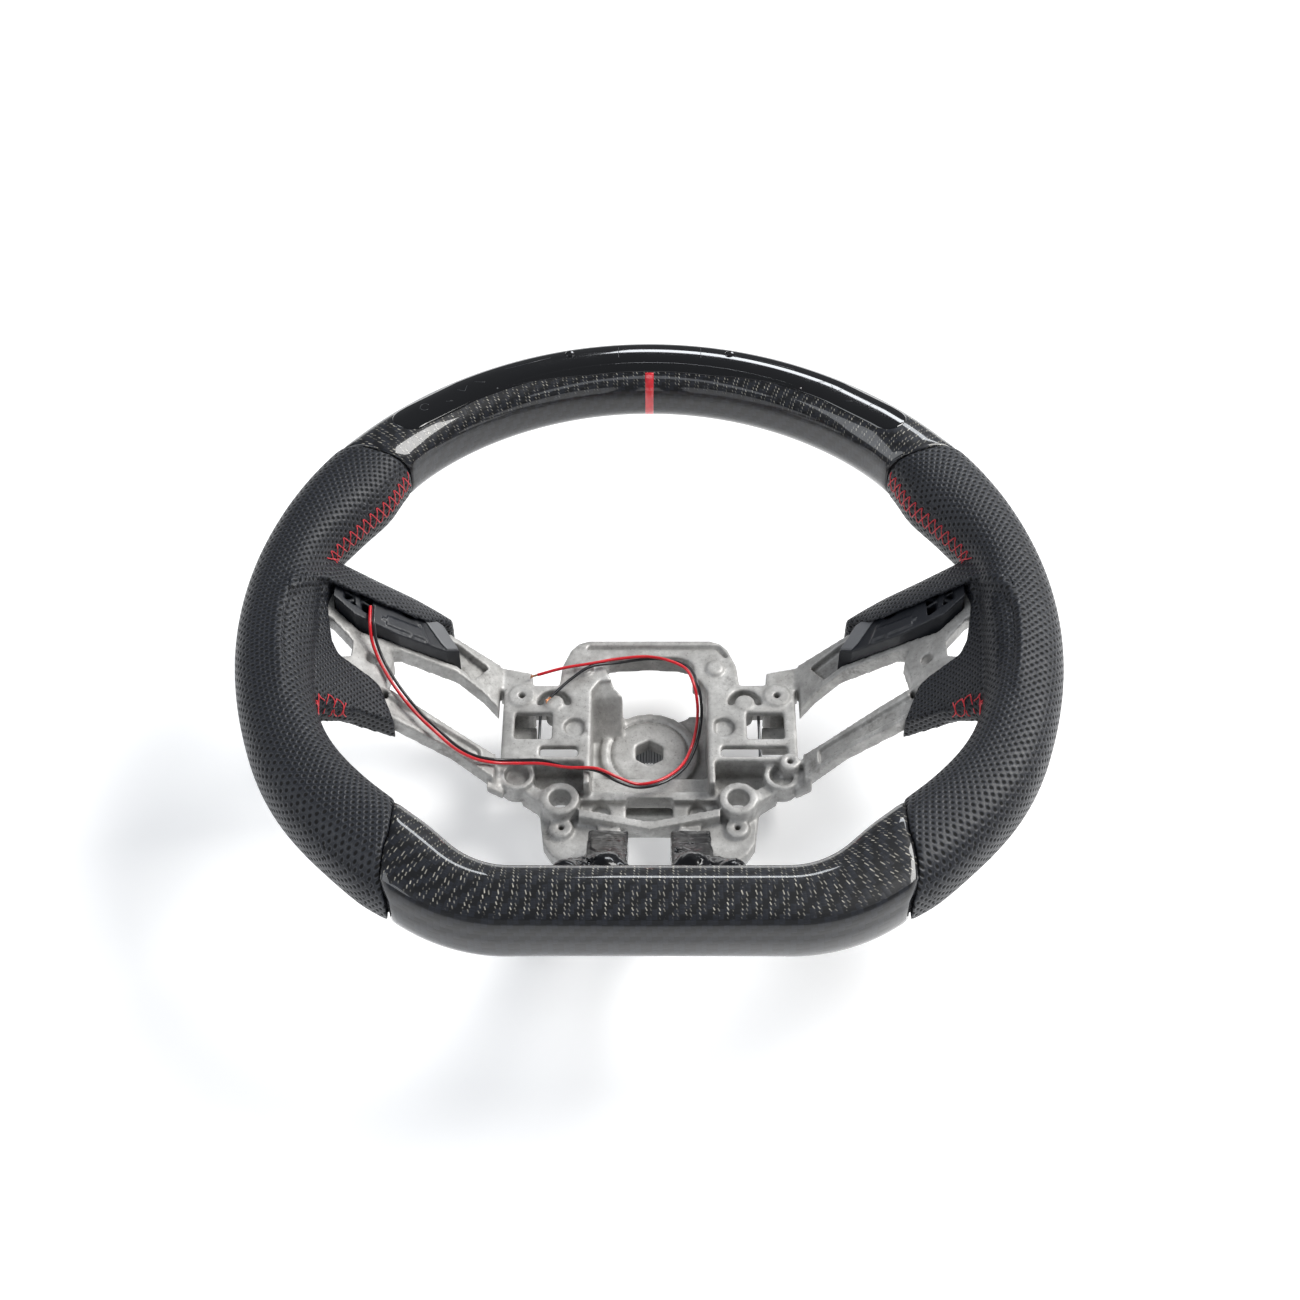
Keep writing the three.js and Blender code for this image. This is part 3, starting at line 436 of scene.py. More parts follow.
def copper_material():
    n = Nodes("copper_strands")
    strands = n.noise(2600.0, 2.0, 0.5)
    tone = n.mix(strands, rgb(0.30, 0.12, 0.05), rgb(0.72, 0.36, 0.20))
    n.set(Base_Color=tone, Metallic=0.9, Roughness=0.36, Normal=n.bump(strands, 0.0001, 0.6))
    return n.mat


def foam_material():
    n = Nodes("moulded_foam")
    cells = n.voronoi(1800.0)
    tone = n.mix(cells, rgb(0.014, 0.014, 0.016), rgb(0.045, 0.045, 0.050))
    n.set(Base_Color=tone, Roughness=0.85, Normal=n.bump(cells, 0.0002, 0.5))
    return n.mat


def board_material():
    n = Nodes("circuit_board")
    tracks = n.ramp(n.voronoi(420.0, "DISTANCE_TO_EDGE"), 0.02, 0.08)
    tone = n.mix(tracks, rgb(0.03, 0.16, 0.06), rgb(0.010, 0.055, 0.025))
    n.set(Base_Color=tone, Roughness=0.4)
    return n.mat


def glow_material():
    n = Nodes("smoked_light_guide")
    tone = n.mix(n.noise(300.0), rgb(0.02, 0.022, 0.028), rgb(0.05, 0.054, 0.066))
    n.set(Base_Color=tone, Roughness=0.25)
    return n.mat


def etch_material():
    n = Nodes("etched_grey")
    tone = n.mix(n.noise(900.0), rgb(0.030, 0.032, 0.037), rgb(0.060, 0.063, 0.070))
    n.set(Base_Color=tone, Roughness=0.3)
    return n.mat


LEATHER = leather_material()
CARBON = carbon_material()
STRIPE = stripe_material()
GLOSS = gloss_material()
CAST = cast_material()
PLASTIC = plastic_material()
GREY_PLASTIC = plastic_material("grey_plastic", (0.16, 0.165, 0.175), (0.4, 0.55))
RESIN = resin_material()
STEEL = steel_material()
RED_SHEATH = sheath_material("red_sheath", (0.66, 0.012, 0.022), (0.50, 0.008, 0.016))
BLACK_SHEATH = sheath_material("black_sheath", (0.016, 0.017, 0.020), (0.008, 0.008, 0.010))
THREAD = thread_material()
COPPER = copper_material()
FOAM = foam_material()
BOARD = board_material()
GLOW = glow_material()
ETCH = etch_material()


# ---- mesh helpers
def object_from(name, bm, material, smooth=True):
    data = bpy.data.meshes.new(name)
    bmesh.ops.recalc_face_normals(bm, faces=bm.faces)
    bm.to_mesh(data)
    bm.free()
    if smooth:
        data.shade_smooth()
    obj = bpy.data.objects.new(name, data)
    bpy.context.scene.collection.objects.link(obj)
    obj.data.materials.append(material)
    return obj


def apply_modifiers(obj):
    graph = bpy.context.evaluated_depsgraph_get()
    data = bpy.data.meshes.new_from_object(obj.evaluated_get(graph))
    old = obj.data
    obj.modifiers.clear()
    obj.data = data
    bpy.data.meshes.remove(old)


def remeshed(obj, voxel, smooth_steps, factor=0.5):
    """Joins overlapping closed solids into one skin with softened edges."""
    mod = obj.modifiers.new("voxels", "REMESH")
    mod.mode = "VOXEL"
    mod.voxel_size = voxel
    mod.use_smooth_shade = True
    if smooth_steps:
        relax = obj.modifiers.new("relax", "SMOOTH")
        relax.iterations = smooth_steps
        relax.factor = factor
    apply_modifiers(obj)
    obj.data.shade_smooth()


def node_mesh(bm, name):
    """Adds a copy of a CAD node's surface to bm."""
    bm.from_mesh(bpy.data.objects[name].data)


def bridge(bm, r0, r1):
    """Adds the band of faces between two rings of vertices."""
    for i in range(len(r0)):
        j = (i + 1) % len(r0)
        bm.faces.new((r0[i], r0[j], r1[j], r1[i]))


def loft(bm, rings):
    """Adds a closed solid: a band between each ring and the next, and a cap on each end."""
    for r0, r1 in zip(rings, rings[1:]):
        bridge(bm, r0, r1)
    bm.faces.new(rings[0][::-1])
    bm.faces.new(rings[-1])


def prism(bm, points, z0, z1, place=W):
    """Adds a closed prism; points in wheel millimetres, counter-clockwise."""
    loft(bm, [[bm.verts.new(place(x, y, z)) for x, y in points] for z in (z0, z1)])


def circle(x, y, radius, sides):
    turns = [math.tau * k / sides for k in range(sides)]
    return [(x + radius * math.cos(a), y + radius * math.sin(a)) for a in turns]


def drum(bm, x, y, radius, z0, z1, sides=32, top=None, place=W):
    """Adds a closed drum or cone; top is the upper radius."""
    ends = ((radius, z0), (radius if top is None else top, z1))
    loft(bm, [[bm.verts.new(place(a, b, z)) for a, b in circle(x, y, r, sides)] for r, z in ends])


def leaning(side):
    """Places spoke shapes: z = 0 is the spokes' top face, which rises towards the rim."""
    def place(x, y, z):
        return W(side * x, y, DECK_Z + SLOPE * (x - SPOKE_ROOT) + z)
    return place


def tube_mesh(bm, points, radius, sides=8):
    """Adds a closed tube along points in wheel millimetres."""
    rings = []
    for i, p in enumerate(points):
        d = (points[min(i + 1, len(points) - 1)] - points[max(i - 1, 0)]).normalized()
        ref = Vector((0, 0, 1)) if abs(d.z) < 0.9 else Vector((1, 0, 0))
        a = d.cross(ref).normalized()
        b = d.cross(a).normalized()
        if rings and a.dot(rings[-1][1]) < 0:
            a, b = -a, -b
        ring = []
        for k in range(sides):
            t = math.tau * k / sides
            q = p + (a * math.cos(t) + b * math.sin(t)) * radius
            ring.append(bm.verts.new(W(q.x, q.y, q.z)))
        rings.append((ring, a))
    loft(bm, [ring for ring, _ in rings])


def slab(bm, top, low):
    """Adds a closed sheet from two grids of vertices of the same size."""
    n, m = len(top), len(top[0])
    for i in range(n - 1):
        for j in range(m - 1):
            bm.faces.new((top[i][j], top[i][j + 1], top[i + 1][j + 1], top[i + 1][j]))
            bm.faces.new((low[i][j], low[i + 1][j], low[i + 1][j + 1], low[i][j + 1]))
    rim = [(i, 0) for i in range(n)] + [(n - 1, j) for j in range(1, m)]
    rim += [(i, m - 1) for i in range(n - 2, -1, -1)] + [(0, j) for j in range(m - 2, 0, -1)]
    for (i, j), (k, q) in zip(rim, rim[1:] + rim[:1]):
        bm.faces.new((top[i][j], top[k][q], low[k][q], low[i][j]))


# ---- the rim's shape
def rim_centreline():
    pts = []
    for i in range(221):
        a = math.pi / 2 + (ROUND_ENDS - math.pi / 2) * i / 220
        pts.append(Vector((RIM_RADIUS * math.cos(a), RIM_RADIUS * math.sin(a))))
    end = pts[-1]
    heading = Vector((math.sin(ROUND_ENDS), -math.cos(ROUND_ENDS)))
    along = Vector((math.cos(CHAMFER), math.sin(CHAMFER)))
    corner = Vector((HALF_FLAT, FLAT_Y))
    gap = corner - end
    det = -heading.x * along.y + along.x * heading.y
    k = (-gap.x * along.y + along.x * gap.y) / det
    knee = end + heading * k
    reach = FILLET * math.tan(CHAMFER / 2)
    soft = min(k * 0.9, ((knee - corner).length - reach) * 0.6)
    before, after = knee - heading * soft, knee - along * soft
    pts += [end.lerp(before, 0.5), before]
    for i in range(1, 25):
        u = i / 24
        pts.append(before * (1 - u) ** 2 + knee * 2 * u * (1 - u) + after * u * u)
    start = corner + along * reach
    pts += [after.lerp(start, k / 4) for k in range(1, 5)]
    centre = Vector((HALF_FLAT - reach, FLAT_Y + FILLET))
    for i in range(1, 41):
        a = CHAMFER - math.pi / 2 - CHAMFER * i / 40
        pts.append(centre + Vector((math.cos(a), math.sin(a))) * FILLET)
    flat = pts[-1]
    pts += [flat.lerp(Vector((0, FLAT_Y)), k / 20) for k in range(1, 21)]
    return pts


CENTRE = rim_centreline()
ARC = [0.0]
for a, b in zip(CENTRE, CENTRE[1:]):
    ARC.append(ARC[-1] + (b - a).length)
HALF_LENGTH = ARC[-1]


def centre_at(s):
    want = min(max(s, 0.0), 1.0) * HALF_LENGTH
    lo, hi = 0, len(ARC) - 1
    while hi - lo > 1:
        mid = (lo + hi) // 2
        if ARC[mid] <= want:
            lo = mid
        else:
            hi = mid
    w = (want - ARC[lo]) / max(1e-9, ARC[hi] - ARC[lo])
    return CENTRE[lo].lerp(CENTRE[hi], w)


def heading_at(s):
    a, b = centre_at(max(0, s - 0.012)), centre_at(min(1, s + 0.012))
    if s < 0.012:
        a = Vector((-b.x, b.y)) if s == 0 else a
    d = (b - a).normalized()
    return Vector((1, 0)) if s <= 0 else (Vector((-1, 0)) if s >= 1 else d)


def section_at(s):
    i = 1
    while i < len(SECTION) - 1 and SECTION[i][0] < s:
        i += 1
    a, b = SECTION[i - 1], SECTION[i]
    before = SECTION[i - 2] if i > 1 else a
    after = SECTION[i + 1] if i < len(SECTION) - 1 else b
    h = b[0] - a[0]
    w = min(1, max(0, (s - a[0]) / h))
    out = []
    for k in range(1, 5):
        m0 = (b[k] - before[k]) / max(1e-6, b[0] - before[0]) * h if before is not a else 0.0
        m1 = (after[k] - a[k]) / max(1e-6, after[0] - a[0]) * h if after is not b else 0.0
        out.append((2 * w ** 3 - 3 * w ** 2 + 1) * a[k] + (w ** 3 - 2 * w ** 2 + w) * m0
                   + (3 * w ** 2 - 2 * w ** 3) * b[k] + (w ** 3 - w ** 2) * m1)
    return out


def tent(angle, where, reach):
    return max(0.0, 1 - abs((angle % math.tau) - math.radians(where)) / reach)


def ridge(s, angle):
    """Styling creases: two along the inside of the top, two along the top of the bottom."""
    lift = 0.0
    if s < 0.34:
        fade = min(1, (0.34 - s) / 0.08)
        lift += 0.045 * fade * tent(angle, 130 + 25 * s / 0.3, 0.42)
        lift += 0.030 * fade * tent(angle, 165, 0.35)
    if s > 0.74:
        fade = min(1, (s - 0.74) / 0.05)
        lift += 0.115 * fade * tent(angle, 50, 0.50)
        lift += 0.045 * fade * tent(angle, 145, 0.40)
    return lift


def on_rim(t, angle, grow=0.0, styled=0.0):
    """t runs 0 to 1 down the right side and 1 to 2 up the left; angle 0 is outwards, 90 up."""
    turn = t % 2
    side = 1 if turn <= 1 else -1
    s = turn if turn <= 1 else 2 - turn
    p, d = centre_at(s), heading_at(s)
    inner, outer, up, down = section_at(s)
    c, h = math.cos(angle), math.sin(angle)
    power = 2 / SQUARE
    k = 1 + styled * ridge(s, angle)
    radial = math.copysign(abs(c) ** power, c) * ((outer if c > 0 else inner) * k + grow)
    lift = math.copysign(abs(h) ** power, h) * ((up if h > 0 else down) * k + grow)
    return Vector((side * (p.x - d.y * radial), p.y + d.x * radial, lift))


def seam_top(angle):
    """Where leather meets the top carbon: the seam leans forward on the inner side."""
    return TOP_SEAM - 0.004 + 0.017 * math.cos(angle)


def seam_low(angle):
    return LOWER_SEAM + 0.008 + 0.032 * math.cos(angle)


def rim_skin(name, t0, t1, steps, around, grow, styled, material, creases=(), thickness=1.6):
    """A closed sleeve with UVs in metres: along the rim and round its section."""
    bm = bmesh.new()
    layer = bm.loops.layers.uv.new("UVMap")
    grids = []
    for g in (grow, grow - thickness):
        grid = []
        for i in range(steps + 1):
            row = []
            for j in range(around):
                a = math.tau * j / around
                t = t0(a) + (t1(a) - t0(a)) * i / steps
                fall = 0.5 * max(0.0, 1 - min(i, steps - i) / 1.5) if g == grow else 0.0
                row.append(bm.verts.new(W(*on_rim(t, a, g - fall, styled))))
            grid.append(row)
        grids.append(grid)
    girth = math.tau * 0.0172

    def face(verts, uvs):
        f = bm.faces.new(verts)
        for loop, uv in zip(f.loops, uvs):
            loop[layer].uv = uv

    def u_at(i, j):
        a = math.tau * j / around
        return (t0(a) + (t1(a) - t0(a)) * i / steps) * HALF_LENGTH * 0.001

    for which, grid in enumerate(grids):
        for i in range(steps):
            for j in range(around):
                k = (j + 1) % around
                v0, v1 = girth * j / around, girth * (j + 1) / around
                quad = [grid[i][j], grid[i + 1][j], grid[i + 1][k], grid[i][k]]
                places = ((i, j, v0), (i + 1, j, v0), (i + 1, j + 1, v1), (i, j + 1, v1))
                face(quad, [(u_at(m, q), v) for m, q, v in places])
    for j in creases:
        for i in range(steps):
            bm.edges.get((grids[0][i][j], grids[0][i + 1][j])).smooth = False
    for i in (0, steps):
        for j in range(around):
            k = (j + 1) % around
            quad = [grids[0][i][j], grids[0][i][k], grids[1][i][k], grids[1][i][j]]
            v0, v1 = girth * j / around, girth * (j + 1) / around
            face(quad, [(0, v0), (0, v1), (0.0016, v1), (0.0016, v0)])
    return object_from(name, bm, material)


# ---- carbon
carbon_top = rim_skin("carbon_top", lambda a: 2 - seam_top(a), lambda a: 2 + seam_top(a), 170, 72, 0.0, 1.0,
                      CARBON)
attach(carbon_top, "wheel")
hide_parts("carbon_top_shell")
carbon_bottom = rim_skin("carbon_bottom", seam_low, lambda a: 2 - seam_low(a), 130, 72, 0.0, 1.0,
                         CARBON, (10,))
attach(carbon_bottom, "wheel")
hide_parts("carbon_bottom_shell")


# ---- centre stripe
def make_stripe():
    bm = bmesh.new()
    layer = bm.loops.layers.uv.new("UVMap")
    half, around = 2.4, 60
    a0, a1 = math.radians(129), math.radians(246)
    rows = []
    for x in (-half, -half + 0.2, half - 0.2, half):
        t = x / HALF_LENGTH
        grow = 0.02 if abs(x) == half else 0.18
        rows.append([bm.verts.new(W(*on_rim(t, a0 + (a1 - a0) * j / around, grow, 1.0)))
                     for j in range(around + 1)])
    low = [[bm.verts.new(W(*on_rim(x / HALF_LENGTH, a0 + (a1 - a0) * j / around, -0.5, 1.0)))
            for j in range(around + 1)] for x in (-half, half)]
    for i in range(3):
        for j in range(around):
            f = bm.faces.new((rows[i][j], rows[i + 1][j], rows[i + 1][j + 1], rows[i][j + 1]))
            for loop, (p, q) in zip(f.loops, ((i, j), (i + 1, j), (i + 1, j + 1), (i, j + 1))):
                loop[layer].uv = (p * 0.0016, q * 0.0007)
    for j in range(around):
        bm.faces.new((low[0][j], rows[0][j], rows[0][j + 1], low[0][j + 1]))
        bm.faces.new((rows[3][j], low[1][j], low[1][j + 1], rows[3][j + 1]))
        bm.faces.new((low[1][j], low[0][j], low[0][j + 1], low[1][j + 1]))
    for j in (0, around):
        bm.faces.new((low[0][j], rows[0][j], rows[1][j], rows[2][j], rows[3][j], low[1][j]))
    obj = object_from("red_centre_stripe", bm, STRIPE)
    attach(obj, "wheel")
    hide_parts("centre_stripe")


make_stripe()


# ---- leather
def nearest_on_rim(x, y):
    """Arc length along the half rim, signed distance outwards; x taken on the right side."""
    p = Vector((abs(x), y))
    best, at = 1e9, 0
    for i in range(0, len(CENTRE), 6):
        d = (CENTRE[i] - p).length_squared
        if d < best:
            best, at = d, i
    for i in range(max(0, at - 6), min(len(CENTRE), at + 7)):
        d = (CENTRE[i] - p).length_squared
        if d < best:
            best, at = d, i
    i = min(max(at, 1), len(CENTRE) - 2)
    d = (CENTRE[i + 1] - CENTRE[i - 1]).normalized()
    rel = p - CENTRE[i]
    return ARC[i] + rel.dot(d), rel.dot(Vector((-d.y, d.x)))


def leather_uv(obj):
    data = obj.data
    layer = data.uv_layers.new(name="UVMap")
    values, reaches = [], []
    for v in data.vertices:
        x, y = v.co.x * 1000, v.co.y * 1000 - OFFSET_Y
        z = v.co.z * 1000 - OFFSET_Z
        if v.normal.z > 0.15 and -60 < y < 48:
            v.co += v.normal * crease_lift(x, y) * 0.001 * min(1.0, (v.normal.z - 0.15) / 0.35)
        arc, radial = nearest_on_rim(x, y)
        angle = math.atan2(z, radial)
        if angle < math.radians(-115):
            angle += math.tau
        reach = math.hypot(radial, z)
        values.append((arc * 0.001, (17.5 * angle + max(0, reach - 19)) * 0.001))
        reaches.append(reach)
    turn = math.tau * 0.0175
    for poly in data.polygons:
        vs = [values[data.loops[k].vertex_index] for k in poly.loop_indices]
        top = max(v for _, v in vs)
        n = poly.normal
        if abs(n.z) < 0.6 and min(reaches[data.loops[k].vertex_index] for k in poly.loop_indices) > 21:
            for k in poly.loop_indices:
                co = data.vertices[data.loops[k].vertex_index].co
                layer.data[k].uv = (co.x if abs(n.y) > abs(n.x) else co.y, co.z)
            continue
        for k, (u, v) in zip(poly.loop_indices, vs):
            layer.data[k].uv = (u, v + turn if top - v > turn / 2 else v)


# the upper wrap's sections: (x, near edge y, far edge y), heights over the spoke's top face
UPPER_WRAP = [(94.5, 40.2, 44.2), (99, 37.5, 45.4), (106, 31.5, 46.2), (112, 30.6, 46.4), (128, 29.5, 46.6),
              (142, 28.5, 47.2), (156, 27.5, 48.0)]
LOWER_WRAP = [(116.0, -26.5), (142, -31), (154, -32), (154, -1), (146, -0.5), (128, -6.8), (123.5, -9.5)]
# the thumb rest: (y, how far it reaches in, height of that edge over the spoke's top face)
THUMB_REST = [(-50, 156, -2), (-44, 152, 0), (-37, 146, 1), (-31, 134, 2), (-24, 129, 2.2), (-16, 131, 2.4),
              (-6, 139.5, 2.6), (4, 145, 3), (14, 147, 4), (24, 148.5, 6), (31, 147, 9), (36, 143, 9.5),
              (44, 147, 4), (49, 151, 0), (54, 154, -5)]
# the crease that borders the thumb rest, from the lower rim over the crown to the upper wrap
CREASE = [(158, -52), (160, -35), (163.2, -18), (164.6, 0), (161.8, 13), (154.7, 22.5), (147, 26.8),
          (139, 28.5), (130, 30)]


def thumb_rest(bm, side):
    """A wedge from the crown of the rim down to the spokes, lofted along y."""
    rings = []
    for y, foot, over in THUMB_REST:
        c = math.sqrt(RIM_RADIUS ** 2 - y * y)
        low = DECK_Z + SLOPE * (foot - SPOKE_ROOT) + over
        shoulder = Vector((c - 4.5, 16.9))
        end = Vector((foot, low))
        sag = Vector((0.35, 1.0)) * 1.6
        mids = [shoulder.lerp(end, w) - sag * math.sin(math.pi * w) for w in (0.33, 0.66)]
        profile = [Vector((c + 4, 16.2)), Vector((c - 0.5, 17.3)), shoulder] + mids
        profile += [end, Vector((foot, low - 9)), Vector((c - 9, -13)), Vector((c + 3, -10))]
        rings.append([bm.verts.new(W(side * p.x, y, p.y)) for p in profile])
    loft(bm, rings)


def upper_wrap(bm, side):
    """The padded strip over the upper arm, highest at its near edge and rounded down at the far one."""
    place = leaning(side)
    rings = []
    for x, near, far in UPPER_WRAP:
        w = min(1.0, (x - 94.5) / 14.0)
        high = 9.0 + 4.0 * w
        low = 10.3 if x > 103 else -11.5
        span = far - near
        under = max(near, 40.0)
        profile = [(near, low), (near, high), (near + span * 0.34, high - 0.2),
                   (near + span * 0.68, high - 1.8), (near + span * 0.90, high - 4.8), (far, high - 9.5),
                   (far, -11.5), (under, -11.5), (under, low)]
        rings.append([bm.verts.new(place(x, y, z)) for y, z in profile])
    loft(bm, rings)


def crease_lift(x, y):
    """How far the skin stands out (mm) near the crease; the thumb rest's side is hollowed."""
    p = Vector((abs(x), y))
    best, sign, along = 1e9, 1, 0
    for i, (q0, q1) in enumerate(zip(CREASE, CREASE[1:])):
        a, b = Vector(q0), Vector(q1)
        d = b - a
        w = max(0.0, min(1.0, (p - a).dot(d) / d.length_squared))
        off = p - (a + d * w)
        if off.length < best:
            best, along = off.length, (i + w) / (len(CREASE) - 1)
            sign = 1 if d.x * off.y - d.y * off.x > 0 else -1
    if best > 18:
        return 0.0
    fade = min(1.0, along / 0.22, (1 - along) / 0.40)
    if sign < 0:
        return 1.9 * fade * math.exp(-(best / 4.2) ** 2)
    drop = min(1.0, best / 3.2)
    back = max(0.0, min(1.0, (16 - best) / 7))
    return fade * (1.9 - 2.9 * drop) * (1.0 if best < 3.2 else back)


def make_leather(side, word):
    bm = bmesh.new()
    steps, around = 150, 64
    rows = []
    for i in range(steps + 1):
        row = []
        for j in range(around):
            a = math.tau * j / around
            t0, t1 = seam_top(a) + 0.0012, seam_low(a) - 0.0012
            t = t0 + (t1 - t0) * i / steps
            row.append(bm.verts.new(W(*on_rim(t if side > 0 else 2 - t, a, 0.45))))
        rows.append(row)
    for r0, r1 in zip(rows, rows[1:]):
        bridge(bm, r0, r1)
    for row in (rows[0], rows[-1]):
        hub = bm.verts.new(sum((v.co for v in row), Vector()) / around)
        for j in range(around):
            bm.faces.new((row[j], row[(j + 1) % around], hub))
    place = leaning(side)
    upper_wrap(bm, side)
    prism(bm, LOWER_WRAP, -12.0, 2.0, place)
    thumb_rest(bm, side)
    bmesh.ops.recalc_face_normals(bm, faces=bm.faces)
    obj = object_from("leather_%s" % word, bm, LEATHER)
    remeshed(obj, 0.0010, 9)
    leather_uv(obj)
    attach(obj, "wheel")
    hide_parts("leather_cover_" + word, "leather_upper_wrap_" + word, "leather_lower_wrap_" + word)
    return obj


leather = {side: make_leather(side, word) for side, word in SIDES}


# ---- red cross stitching
def stitch_band(name, side, rows):
    """Two threads crossing between two rows of holes; each row is a list of wheel-frame points."""
    skin = leather[side]
    bm = bmesh.new()

    def stretch(p, q):
        pts = []
        for k in range(8):
            w = k / 7
            _, spot, normal, _ = skin.closest_point_on_mesh(W(*p.lerp(q, w)))
            depth = -0.4 if k in (0, 7) else 0.36 + 0.26 * math.sin(math.pi * w)
            spot = spot * 1000 + normal * depth
            pts.append(Vector((spot.x, spot.y - OFFSET_Y, spot.z - OFFSET_Z)))
        return pts

    a, b = rows
    for i in range(len(a) - 1):
        tube_mesh(bm, stretch(a[i], b[i + 1]), 0.27, 6)
        tube_mesh(bm, stretch(b[i], a[i + 1]), 0.27, 6)
    obj = object_from(name, bm, THREAD)
    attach(obj, "wheel")


def upper_rows(side):
    rows = []
    for turn in (-0.21, 0.21):
        row = []
        for i in range(15):
            s = 0.284 + (0.422 - 0.284) * i / 14
            a = math.radians(172) + turn
            row.append(on_rim(s if side > 0 else 2 - s, a, 0.4))
        rows.append(row)
    return rows


LOWER_STITCH = [(155, -43, -3), (153.5, -37, -7), (150, -32.5, -10), (145.5, -31.5, -12), (141, -31.5, -14.5),
                (136.5, -31, -17.5)]


def lower_rows(side):
    rows = [[], []]
    for i, (x, y, z) in enumerate(LOWER_STITCH):
        q = LOWER_STITCH[min(i + 1, len(LOWER_STITCH) - 1)]
        p = LOWER_STITCH[max(i - 1, 0)]
        d = Vector((q[0] - p[0], q[1] - p[1])).normalized()
        for row, (up, across) in zip(rows, ((-1.0, 0.0), (4.6, 2.6))):
            row.append(Vector((side * (x + d.y * across), y - d.x * across, z + up)))
    return rows


for side, word in SIDES:
    stitch_band("stitch_upper_%s" % word, side, upper_rows(side))
    stitch_band("stitch_lower_%s" % word, side, lower_rows(side))


# ---- casting
def make_casting():
    bm = bmesh.new()
    for name in ("hub_casting", "spoke_frame_left", "spoke_frame_right"):
        node_mesh(bm, name)
    # fillets and drafts that bridge the spokes and the hub
    for side in (-1, 1):
        place = leaning(side)
        prism(bm, [(68.5, 22), (76, 21), (76, 34), (68.5, 33)], -9, -0.3, place)
        prism(bm, [(68.5, -37), (76, -36.5), (76, -22.5), (68.5, -22)], -9.0, -4.2, place)
    obj = object_from("armature_casting", bm, CAST)
    remeshed(obj, 0.00075, 5)
    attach(obj, "wheel")
    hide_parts("hub_casting", "spoke_frame_left", "spoke_frame_right")


make_casting()


# ---- brackets
def make_bracket(side, word):
    bm = bmesh.new()
    node_mesh(bm, "switch_bracket_" + word)
    place = leaning(side)
    for line in ([(103.5, 20.9), (104.3, 20.8), (108.6, 30.4), (107.8, 30.6)],
                 [(112, 24.5), (124, 23.2), (124, 24.0), (112.2, 25.3)],
                 [(110.5, 20.6), (111.2, 20.5), (112.9, 25.0), (112.2, 25.2)]):
        prism(bm, line, 8.2, 9.8, place)
    prism(bm, [(128, 27.5), (142, 30.5), (142, 32.0), (128, 29)], -3.2, 7.5, place)
    prism(bm, [(129, 33.8), (141, 24.0), (142, 25.4), (130, 35.2)], -3.2, 7.0, place)
    obj = object_from("switch_bracket_piece_%s" % word, bm, PLASTIC)
    remeshed(obj, 0.0005, 3)
    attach(obj, "wheel")
    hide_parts("switch_bracket_" + word)


def make_bracket_end(side, word):
    """The lighter slanting end that faces the hub."""
    bm = bmesh.new()
    outline = [(90.8, 25.6), (95.8, 22.3), (98.5, 24.2), (106.5, 33.5), (105.6, 37.6), (98.6, 35.4)]
    prism(bm, outline, 8.0, 9.9, leaning(side))
    obj = object_from("bracket_end_%s" % word, bm, GREY_PLASTIC)
    remeshed(obj, 0.0004, 3)
    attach(obj, "wheel")


for side, word in SIDES:
    make_bracket_end(side, word)
for side, word in SIDES:
    make_bracket(side, word)


# ---- resin-wrapped arms
def make_resin(side, word):
    bm = bmesh.new()
    node_mesh(bm, "resin_wrap_" + word)
    for x, y, z, r in ((31, -123.5, -7, 6.5), (27, -119, -13, 7), (34.5, -127, -1, 6.0), (24, -108, -27, 6.5),
                       (13, -123, -7, 5.0), (18, -121, -9, 8.5)):
        ball = Matrix.Translation(W(side * x, y, z)) @ Matrix.Scale(r * 0.001, 4)
        bmesh.ops.create_icosphere(bm, subdivisions=3, radius=1.0, matrix=ball)
    obj = object_from("resin_wrap_piece_%s" % word, bm, RESIN)
    remeshed(obj, 0.0008, 10)
    for v in obj.data.vertices:
        p = v.co * 1000
        bulge = noise.noise(Vector((p.x * 0.11, p.y * 0.09, p.z * 0.09)) + Vector((3.1, 0, 0)))
        fold = abs(noise.noise(Vector((p.x * 0.15, p.y * 0.08, p.z * 0.08)) + Vector((9, 4, 1))))
        v.co += v.normal * (0.0010 + 0.0009 * bulge - 0.0030 * max(0.0, 0.25 - fold) ** 1.5)
    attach(obj, "wheel")
    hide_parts("resin_wrap_" + word)


for side, word in SIDES:
    make_resin(side, word)


# ---- display
LENS_R, LENS_HALF = (160.5, 178.5), 43.0  # inner and outer radius, half angle in degrees
LENS_MID = sum(LENS_R) / 2


def polar(radius, degrees):
    a = math.radians(90 - degrees)
    return radius * math.cos(a), radius * math.sin(a)


def crown(along, r):
    """Height of the rim's surface under the window; r is measured from the window's middle."""
    x = r + LENS_MID - RIM_RADIUS
    inner, outer, up, _ = section_at(abs(along) / HALF_LENGTH)
    q = min(0.98, abs(x) / (outer if x > 0 else inner))
    return up * (1 - q ** SQUARE) ** (1 / SQUARE)


